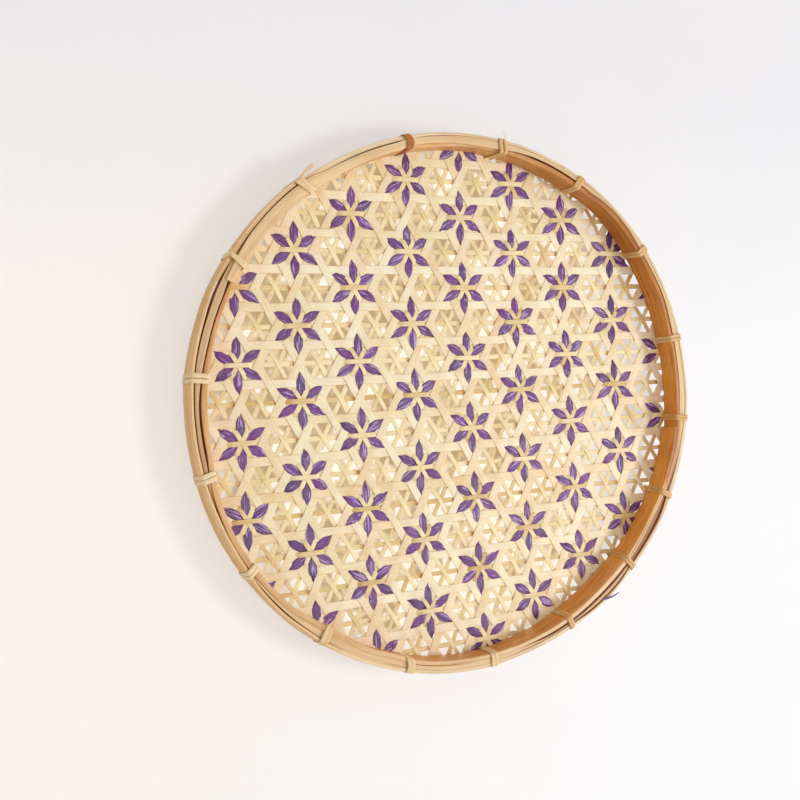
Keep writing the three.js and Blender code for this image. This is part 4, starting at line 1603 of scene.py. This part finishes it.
        # Painted shade where the hoop's outside looks into the second gap.
        dark = self.dark(self.run.inner_gap.at(angle)) * (1.0 - under) * (1.0 - covered)
        strip = BentStrip(self.tray, "inner_hoop_bamboo", "inner_hoop", "inner_bamboo", 13, corner=0.5,
                          inner_face=True)
        # Its front takes painted shade in the face and node colours, and its front and inside more painted
        # shade, most at the upper right.
        strip.build(StripRun(angle, outer, outer + lean, thick, front, rear, gap_shade_outside=dark,
                             painted_light_and_shade=self.run.inner_painted_shade.at(angle), painted_dusk=self.run.inner_painted_dusk.at(angle)),
                    finish)


@dataclass(frozen=True)
class Knot:
    """How one tie differs from the rest.

    Inner, outer, rear and deep move it along the rim, in millimetres, at the inner and outer front
    corners and at the outer and inner rear ones. Spread moves its two turns apart, cross passes one over
    the other, open bows them apart on the front, and bow bends both the same way. Tone goes from pale,
    -1, to golden, 1.
    """

    angle: float
    spread: float = 1.0
    inner: float = 0.0
    outer: float = 0.0
    rear: float = 0.0
    deep: float = 0.0
    cross: float = 0.0
    open: float = 0.0
    bow: float = 0.0
    width: float = 2.75
    tone: float = 0.0
    dark: bool = False


TIE_KNOTS = (
    Knot(15.2, 1.05, 0.2, -0.2, width=2.2, tone=0.7),
    Knot(37.5, 1.0, -2.3, -1.6, -1.6, width=2.4, tone=0.7),
    Knot(59.5, 1.0, 0.5, -0.5, width=2.5, tone=0.5),
    Knot(81.5, 0.95, -2.6, -0.3, deep=-1.2, open=0.6, tone=0.3),
    Knot(105.8, 0.95, bow=-2.2, deep=-1.5, width=2.4, dark=True),
    Knot(132.2, 0.95, -1.3, 2.2, 2.6, tone=-0.3),
    Knot(154.5, 0.8, -1.3, -3.2, -4.7, cross=0.5, width=2.5, tone=-0.2),
    Knot(177.5, 1.15, width=2.7, tone=-0.5),
    Knot(195.2, 1.05, 1.4, 2.2, 3.0, width=2.8, tone=-0.4),
    Knot(214.8, 1.05, 0.3, 1.8, 5.0, width=2.6, tone=-0.3),
    Knot(234.8, 0.9, 0.4, 2.0, 6.5),
    Knot(255.5, 0.9, -1.8, 0.3, 2.0, deep=-3.8, bow=1.4, tone=0.2),
    Knot(276.0, 0.95, 0.6, 0.3, 1.0, deep=2.0, bow=0.5, width=2.8),
    Knot(298.0, 1.0, 0.4, -0.6, deep=0.3, cross=0.3, width=2.3, tone=0.8),
    Knot(319.2, 1.05, 0.8, -0.4, deep=2.6, width=2.2, tone=0.9),
    Knot(338.2, 1.05, 0.6, deep=2.3, cross=0.15, width=2.2, tone=1.0),
    Knot(356.8, 1.05, -0.6, -0.4, cross=0.15, width=2.2, tone=1.0),
)


@dataclass
class Ties:
    """Seventeen ties of split cane, each wound twice round the whole rim and through the mat.

    Side_waver and width_waver are ripples along the cane, as wavelength and size. Join is where along
    the two turns, in turns, the first goes over to the second, and how long that takes.
    """

    tray: Tray
    rim: Rim
    thick: float = 0.75
    clearance: float = 0.1
    front_clearance: float = 0.15
    rear_sunk: float = 0.05
    squareness: float = 10.0
    samples: int = 2001
    steps: int = 96
    tucked: int = 2
    join: Pair = (0.88, 0.24)
    side_waver: Pair = (18.0, 0.12)
    width_waver: Pair = (24.0, 0.05)
    lift: float = 0.05
    cross_lift: float = 0.28
    cross_reach: float = 1.2
    middle_inset: float = 4.8
    grain_apart: float = 11.0
    tones: Pair = (-0.2, 0.2)
    seed: int = 31

    SECTION_ACROSS = np.array([-0.5, -0.43, -0.26, 0.0, 0.26, 0.43, 0.5, 0.43, 0.26, 0.0, -0.26, -0.43])
    SECTION_UP = np.array([0.0, 0.28, 0.44, 0.5, 0.44, 0.28, 0.0, -0.28, -0.36, -0.36, -0.36, -0.28])
    SECTION_EDGE = np.array([1.0, 0.5, 0.0, 0.0, 0.0, 0.5, 1.0, 0.5, 0.0, 0.0, 0.0, 0.5])

    def loop(self, knot: Knot) -> tuple[Array, Array, Array, Array, float]:
        """Lays out one turn round the rim's leaning section, at even steps of its length.

        In the unit square the turn is the superellipse |2s - 1|^n + |2d - 1|^n = 1, with s from the
        outside in and d from the front back. At each d, s then spans the rim from its outside to its
        inside there, which both lean as the hoops do.

        Args:
            knot: The tie.

        Returns:
            Inset and depth of each step, the outward normal there, s, d, and the turn's length.
        """
        run, off = self.rim.run, self.thick / 2.0 + self.clearance
        lapped = self.rim.lap_rise * (self.rim.lap_start < knot.angle < self.rim.lap_end)
        covered = self.rim.broad_over[0] < knot.angle < self.rim.broad_end
        inner = float(run.broad_inner.at(knot.angle)) if covered else 0.0
        front_out = float(run.outer_front.at(knot.angle)) - lapped - off
        rear_out = float(run.outer_rear.at(knot.angle)) - lapped - off
        front_in = max(float(run.inner_front.at(knot.angle)), inner) + off
        rear_in = float(run.inner_rear.at(knot.angle)) + off
        near = self.tray.front - off - self.front_clearance - self.rim.broad_proud * covered
        far = -off + self.rear_sunk
        turn = np.linspace(0.0, 2.0 * np.pi, self.samples) + np.pi / 2.0
        s, d = (0.5 + 0.5 * self.squared(value) for value in (np.cos(turn), np.sin(turn)))
        outside, inside = front_out + (rear_out - front_out) * d, front_in + (rear_in - front_in) * d
        inset, depth = outside + (inside - outside) * s, near + (far - near) * d
        length = np.concatenate([[0.0], np.cumsum(np.hypot(np.diff(inset), np.diff(depth)))])
        even = np.linspace(0.0, length[-1], self.steps + 1)[:-1]
        inset, depth, s, d = (np.interp(even, length, value) for value in (inset, depth, s, d))
        run_inset, run_depth = (np.roll(value, -1) - np.roll(value, 1) for value in (inset, depth))
        normal = np.stack([run_depth, -run_inset]) / np.hypot(run_inset, run_depth)
        flip = 1.0 if normal[0, np.argmin(inset)] < 0.0 else -1.0
        return np.stack([inset, depth]), flip * normal, s, d, float(length[-1])

    def squared(self, value: Array) -> Array:
        """Raises a sine's size to two over the squareness and keeps its sign."""
        return np.sign(value) * np.abs(value) ** (2.0 / self.squareness)

    def sideways(self, knot: Knot, s: Array, d: Array, join: Array) -> Array:
        """Finds how far along the rim the tie lies at each step.

        Half the spread before the join of its two turns and half after it, less the crossing on the front,
        plus the bow and opening there, plus the knot's shifts blended between the four corners.

        Args:
            knot: The tie.
            s: Share of the way in.
            d: Share of the way back.
            join: -1 in the first turn and 1 in the second.

        Returns:
            The distance along the rim, in millimetres.
        """
        front = self.on_front(d)
        sweep = 2.0 * s - 1.0
        side = 0.5 * knot.width * knot.spread * join * (1.0 - knot.cross * front * (1.0 - sweep))
        side = side + (knot.open * np.sign(join) + knot.bow) * front * (1.0 - sweep ** 2)
        side = side + (1.0 - d) * (knot.inner * s + knot.outer * (1.0 - s))
        return side + d * (knot.deep * s + knot.rear * (1.0 - s))

    @staticmethod
    def on_front(d: Array) -> Array:
        """The share that a step counts as on the front: all at d = 0 and none from a quarter back."""
        return ease(1.0 - 4.0 * d)

    def build(self, number: int, knot: Knot, finish: Material) -> None:
        """Winds one tie: two turns of the loop, side by side, joined behind the mat.

        Args:
            number: The tie's number, from 1.
            knot: Its place and manner.
            finish: Its material.
        """
        rng = np.random.default_rng([self.seed, number])
        place, normal, s, d, length = self.loop(knot)
        order = np.arange(2 * (self.steps - self.tucked)) + self.tucked
        step = order % self.steps
        share = order / self.steps
        join = ramp(share, *self.join) * 2.0 - 1.0
        side = self.sideways(knot, s[step], d[step], join) + ripple(share * length, rng, *self.side_waver)
        width = knot.width * (1.0 + ripple(share * length, rng, *self.width_waver))
        crossed = knot.cross * self.on_front(d[step]) * (join > 0.0)
        lift = self.lift + self.cross_lift * crossed * hill(2.0 * s[step] - 1.0, self.cross_reach)
        across = self.SECTION_ACROSS * width[:, None]
        up = self.thick * self.SECTION_UP + lift[:, None]
        reach = float(self.tray.radius(knot.angle)) - self.middle_inset
        angle = knot.angle + np.degrees((side[:, None] + across) / reach)
        inset, depth = (place[i][step, None] + normal[i][step, None] * up for i in (0, 1))
        mesh = StrandMesh(f"tie_cane_{number:02d}")
        mesh.add(self.tray.point(angle, inset, depth), share * length + self.grain_apart * number,
                 tone=knot.tone + float(rng.uniform(*self.tones)), edge=self.SECTION_EDGE)
        hand_in(mesh.build(finish), "cane", f"tie_{number:02d}")


@dataclass(frozen=True)
class Fibre:
    """A loose fibre: three places it passes through, as angle, inset and height in front of the rim."""

    name: str
    slot: str
    places: tuple[Triple, ...]
    width: float
    thick: float = 0.25
    tone: float = 0.3


PURPLE_FIBRES = (
    Fibre("loose_purple_fibre", "purple_splint", ((307.7, 2.2, -1.2), (309.8, -0.8, 0.6), (312.4, -3.3, 0.2)),
          1.6, tone=1.0),
    Fibre("loose_purple_thread", "purple_splint", ((359.9, 16.8, -14.2), (359.3, 13.0, -13.6),
                                                   (358.9, 9.6, -14.4)), 0.6),
)
PALE_FIBRES = (
    Fibre("loose_cane_hair", "cane", ((81.0, 0.5, 0.4), (81.3, -1.8, 0.9), (81.8, -4.2, 0.6)), 0.45),
    Fibre("loose_cane_tip", "cane", ((153.6, 0.4, 0.5), (153.0, -2.0, 0.7), (152.0, -4.2, -0.6)), 1.1),
)


@dataclass
class LooseFibres:
    """The few fibres that stand out of the rim and the mat."""

    tray: Tray
    steps: int = 14
    thinning: float = 0.7
    grain_length: float = 8.0

    SECTION_ACROSS = np.array([-0.5, -0.3, 0.3, 0.5, 0.3, -0.3])
    SECTION_UP = np.array([0.0, 0.5, 0.5, 0.0, -0.5, -0.5])
    FORWARD = np.array([0.0, -1.0, 0.0])

    def build(self, fibre: Fibre, finish: Material) -> None:
        """Makes one fibre along the parabola through its three places, thinning to its far end.

        Args:
            fibre: Its places and size.
            finish: Its material.
        """
        t = np.linspace(0.0, 1.0, self.steps)
        weights = np.stack([(1.0 - t) * (1.0 - 2.0 * t), 4.0 * t * (1.0 - t), t * (2.0 * t - 1.0)])
        angle, inset, ahead = (weights.T @ np.array(column) for column in zip(*fibre.places))
        line = self.tray.point(angle, inset, self.tray.front - ahead)
        run = np.gradient(line, axis=0)
        run = run / np.linalg.norm(run, axis=1, keepdims=True)
        side = np.cross(run, self.FORWARD)
        side = side / np.linalg.norm(side, axis=1, keepdims=True)
        size = (1.0 - self.thinning * t ** 2)[:, None, None]
        rings = line[:, None] + size * (side[:, None] * (fibre.width * self.SECTION_ACROSS)[:, None])
        rings = rings + size * self.FORWARD * (fibre.thick * self.SECTION_UP)[:, None]
        mesh = StrandMesh(fibre.name)
        mesh.add(rings, t * self.grain_length, tone=fibre.tone)
        hand_in(mesh.build(finish), fibre.slot)


# Studio


def flat_sheet(name: str, corners: Array, material: Material) -> None:
    """Makes a backdrop of one four-sided face and marks it as not part of the object.

    Args:
        name: Its name.
        corners: Its four corners, in metres.
        material: Its paint.
    """
    mesh = bpy.data.meshes.new(name)
    mesh.from_pydata([tuple(c) for c in corners], [], [(0, 1, 2, 3)])
    mesh.materials.append(material)
    sheet = bpy.data.objects.new(name, mesh)
    bpy.context.scene.collection.objects.link(sheet)
    sheet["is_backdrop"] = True


@dataclass
class Studio:
    """A pale wall right behind the tray, a pale floor far below, soft light and the camera.

    The wall's own glow, which only the camera sees, has painted light and shade in patches near the
    tray's middle, where the wall shows through the weave: tan shade, yellowish light and bright light.
    Elsewhere it is plain, with painted shade that dims it towards the top. Its reaches and sides are the
    ends of smooth steps in metres, and its patches those of smooth steps of the noise, which has a scale
    and a number of octaves.
    """

    tray: Tray
    camera_place: Triple = (-365.05, -618.725, -28.99)
    camera_pan: float = 27.59
    camera_tilt: float = 2.264
    lens: float = 50.085
    film: float = 36.0
    wall_colour: str = "f7f5f2"
    wall_shade: str = "f2f1ef"
    wall_patches: Pair = (0.35, 0.7)
    wall_noise: Pair = (5.0, 5.0)
    seen_albedo: float = 0.5
    glow: Colour = (0.54, 0.5, 0.475, 1.0)
    right_glow: Colour = (0.495, 0.495, 0.52, 1.0)
    # Painted shade: the plain glow dims towards the top.
    top_painted_shade: Colour = (0.42, 0.41, 0.44, 1.0)
    # Painted light and shade where the wall shows through the weave: tan shade, yellowish light and bright
    # light, in patches set by the steps and noise below.
    painted_shade_glow: Colour = (0.33, 0.22, 0.1, 1.0)
    painted_light_glow: Colour = (0.58, 0.45, 0.27, 1.0)
    painted_bright_glow: Colour = (0.84, 0.79, 0.68, 1.0)
    painted_light_reach: Pair = (0.15, 0.175)
    painted_light_side: Pair = (0.09, 0.15)
    painted_light_patches: Pair = (0.38, 0.49)
    painted_bright_patches: Pair = (0.5, 0.58)
    painted_light_noise: Pair = (88.0, 2.0)
    painted_light_lean: float = 0.45
    right_side: Pair = (-0.25, 0.25)
    top_side: Pair = (-0.15, 0.12)
    wall_reach: float = 3.0
    wall_gap: float = 0.0006
    wall_touch: float = 0.18
    wall_swing: float = 1.3
    floor_drop: float = 1250.0
    key_place: Triple = (1.65, -1.55, -0.45)
    key_size: float = 0.55
    key_level: float = 0.42
    back_place: Triple = (0.9, 1.9, 0.5)
    back_size: float = 1.2
    back_level: float = 0.35
    fill_level: float = 0.62

    def camera(self) -> None:
        """Makes the camera at the photograph's place, looking right of square-on and a little up."""
        data = bpy.data.cameras.new("camera")
        data.lens, data.sensor_width = self.lens, self.film
        data.clip_start, data.clip_end = 0.05, 20.0
        camera = bpy.data.objects.new("camera", data)
        x, y, z = self.camera_place
        camera.location = (x * MM, (y + self.tray.inner_rear) * MM, (z + self.tray.centre_z) * MM)
        camera.rotation_euler = (math.radians(90.0 + self.camera_tilt), 0.0, -math.radians(self.camera_pan))
        bpy.context.scene.collection.objects.link(camera)
        bpy.context.scene.camera = camera

    def plaster(self, one_sided: bool) -> Material:
        """Makes the pale paint of the wall and floor.

        Args:
            one_sided: Whether it is clear from behind and to lamps, so that the tray's back can be seen
                and lit through it.

        Returns:
            The material.
        """
        made = bpy.data.materials.new("wall_paint" if one_sided else "floor_paint")
        made.use_nodes = True
        wires = Wiring(made.node_tree)
        paint = made.node_tree.nodes["Principled BSDF"]
        place = wires.node("TexCoord").outputs["Object"]
        patches = wires.step(wires.noise(place, *self.wall_noise), *self.wall_patches)
        tint = wires.mix(patches, colour(self.wall_colour), colour(self.wall_shade))
        wires.feed(paint.inputs["Roughness"], 0.9)
        wires.feed(paint.inputs["Specular IOR Level"], 0.1)
        if not one_sided:
            wires.feed(paint.inputs["Base Color"], tint)
            return made
        path = wires.node("LightPath").outputs
        seen = path["Is Camera Ray"]
        dimmed = wires.mix(wires.times(seen, 1.0 - self.seen_albedo), tint, (0.0, 0.0, 0.0, 1.0))
        wires.feed(paint.inputs["Base Color"], dimmed)
        wires.feed(paint.inputs["Emission Color"], self.wall_glow_and_painted_light(wires, place))
        wires.feed(paint.inputs["Emission Strength"], seen)
        behind = wires.node("NewGeometry").outputs["Backfacing"]
        clear = wires.maths("MAXIMUM", behind, path["Is Shadow Ray"])
        glass = wires.node("BsdfTransparent").outputs[0]
        mixed = wires.node("MixShader", {0: clear, 1: paint.outputs[0], 2: glass}).outputs[0]
        wires.feed(made.node_tree.nodes["Material Output"].inputs[0], mixed)
        return made

    def wall_glow_and_painted_light(self, wires: Wiring, place: Socket) -> Socket:
        """Works out the light that the wall shows of itself: painted light and shade in patches behind the
        weave, and painted shade towards the top.

        Args:
            wires: The wall's wiring.
            place: Its object coordinates.

        Returns:
            The colour.
        """
        middle = (0.0, 0.0, self.tray.centre_z * MM)
        flat = wires.node("VectorMath", {0: place, 1: (1.0, 0.0, 1.0)}, operation="MULTIPLY").outputs[0]
        away = wires.node("VectorMath", {0: flat, 1: middle}, operation="DISTANCE").outputs["Value"]
        near = wires.maths("SUBTRACT", 1.0, wires.step(away, *self.painted_light_reach))
        parts = wires.node("SeparateXYZ", {0: place}).outputs
        x, z = parts[0], parts[2]
        left = wires.maths("SUBTRACT", 1.0, wires.step(x, *self.painted_light_side))
        lean = wires.times_plus(wires.maths("SUBTRACT", x, z), self.painted_light_lean, self.painted_light_lean * middle[2])
        level = wires.maths("ADD", wires.noise(place, *self.painted_light_noise), lean)
        # Painted light and shade: tan shade, yellowish light and bright light in patches near the tray's
        # middle.
        painted_patch_colour = wires.mix(wires.step(level, *self.painted_light_patches), self.painted_shade_glow, self.painted_light_glow)
        painted_patch_colour = wires.mix(wires.step(level, *self.painted_bright_patches), painted_patch_colour, self.painted_bright_glow)
        plain = wires.mix(wires.step(x, *self.right_side), self.glow, self.right_glow)
        # Painted shade: dims the plain glow towards the top.
        plain = wires.mix(wires.step(z, *self.top_side), plain, self.top_painted_shade)
        return wires.mix(wires.times(near, left), plain, painted_patch_colour)

    def backdrops(self) -> None:
        """Sets the wall behind the tray, touching it at the left, and the floor."""
        side, low = self.wall_reach, (self.tray.centre_z - self.floor_drop) * MM
        slope = math.tan(math.radians(self.wall_swing))
        left, right = (self.wall_gap + (x + self.wall_touch) * slope for x in (-side, side))
        wall = np.array([(-side, left, low), (side, right, low), (side, right, side), (-side, left, side)])
        flat_sheet("wall", wall, self.plaster(one_sided=True))
        floor = np.array([(-side, -side, low), (side, -side, low), (side, side, low), (-side, side, low)])
        flat_sheet("floor", floor, self.plaster(one_sided=False))

    def lamp(self, name: str, place: Triple, size: float, level: float) -> None:
        """Adds a square area lamp that faces the tray.

        Args:
            name: The lamp's name.
            place: Where it is, in metres.
            size: Length of its side.
            level: Share of a white surface's brightness that it gives, square-on, at the tray.
        """
        away = np.array(place) - np.array([0.0, 0.0, self.tray.centre_z * MM])
        distance = float(np.linalg.norm(away))
        data = bpy.data.lights.new(name, "AREA")
        data.size = size
        data.energy = level * math.pi ** 2 * distance ** 2
        lamp = bpy.data.objects.new(name, data)
        lamp.location = place
        flat = math.hypot(away[0], away[1])
        lamp.rotation_euler = (math.atan2(flat, away[2]), 0.0, math.atan2(away[0], -away[1]))
        bpy.context.scene.collection.objects.link(lamp)

    def light(self) -> None:
        """Lights the tray from the right and a little below, over an even white surround."""
        self.lamp("key_lamp", self.key_place, self.key_size, self.key_level)
        self.lamp("back_lamp", self.back_place, self.back_size, self.back_level)
        world = bpy.data.worlds.new("surround")
        world.use_nodes = True
        wires, surround = Wiring(world.node_tree), world.node_tree.nodes["Background"].inputs
        path = wires.node("LightPath").outputs
        seen = wires.maths("MAXIMUM", path["Is Camera Ray"], path["Is Glossy Ray"])
        seen = wires.maths("MAXIMUM", seen, path["Is Transmission Ray"])
        wires.feed(surround["Strength"], wires.times_plus(seen, 1.0 - self.fill_level, self.fill_level))
        wires.feed(surround["Color"], (1.0, 1.0, 1.0, 1.0))
        bpy.context.scene.world = world
        bpy.context.scene.view_settings.view_transform = "Standard"


def corners(box: tuple) -> list[list[float]]:
    """Turns a box's lowest and highest corner into plain lists of numbers."""
    return [[float(c) for c in corner] for corner in box]


def main() -> None:
    """Builds the studio, the mat, the rim and the ties."""
    logging.basicConfig(level=logging.INFO, format="%(name)s: %(message)s", force=True)
    tray = tray_from_frame()
    effects = Effects()
    studio = Studio(tray)
    studio.camera()
    studio.backdrops()
    studio.light()
    log.info("studio: camera, wall, floor and lamps")
    run = RimRun()
    mat = Mat(tray, run)
    finishes = {Kind.WIDE: WIDE_SPLINT, Kind.NARROW: NARROW_SPLINT, Kind.PURPLE: PURPLE_SPLINT}
    made = {kind: finish.material(effects) for kind, finish in finishes.items()}
    for splints in SPLINT_SETS:
        mat.weave_set(splints, made[splints.kind])
    mat.turned_ends(TURNED_ENDS.material(effects))
    rim = Rim(tray, run)
    rim.outer_hoop(OUTER_BAMBOO.material(effects))
    rim.filler(FILLER_BAMBOO.material(effects))
    rim.inner_hoop(INNER_BAMBOO.material(effects))
    ties = Ties(tray, rim)
    pale_cane, dark_cane = TIE_CANE.material(effects), DARK_CANE.material(effects)
    for number, knot in enumerate(TIE_KNOTS, start=1):
        ties.build(number, knot, dark_cane if knot.dark else pale_cane)
    fibres = LooseFibres(tray)
    for fibre in PURPLE_FIBRES:
        fibres.build(fibre, made[Kind.PURPLE])
    for fibre in PALE_FIBRES:
        fibres.build(fibre, pale_cane)
    {"cad": corners(CAD_BOX), "visual": corners(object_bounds())}


if __name__ == "__main__":
    main()
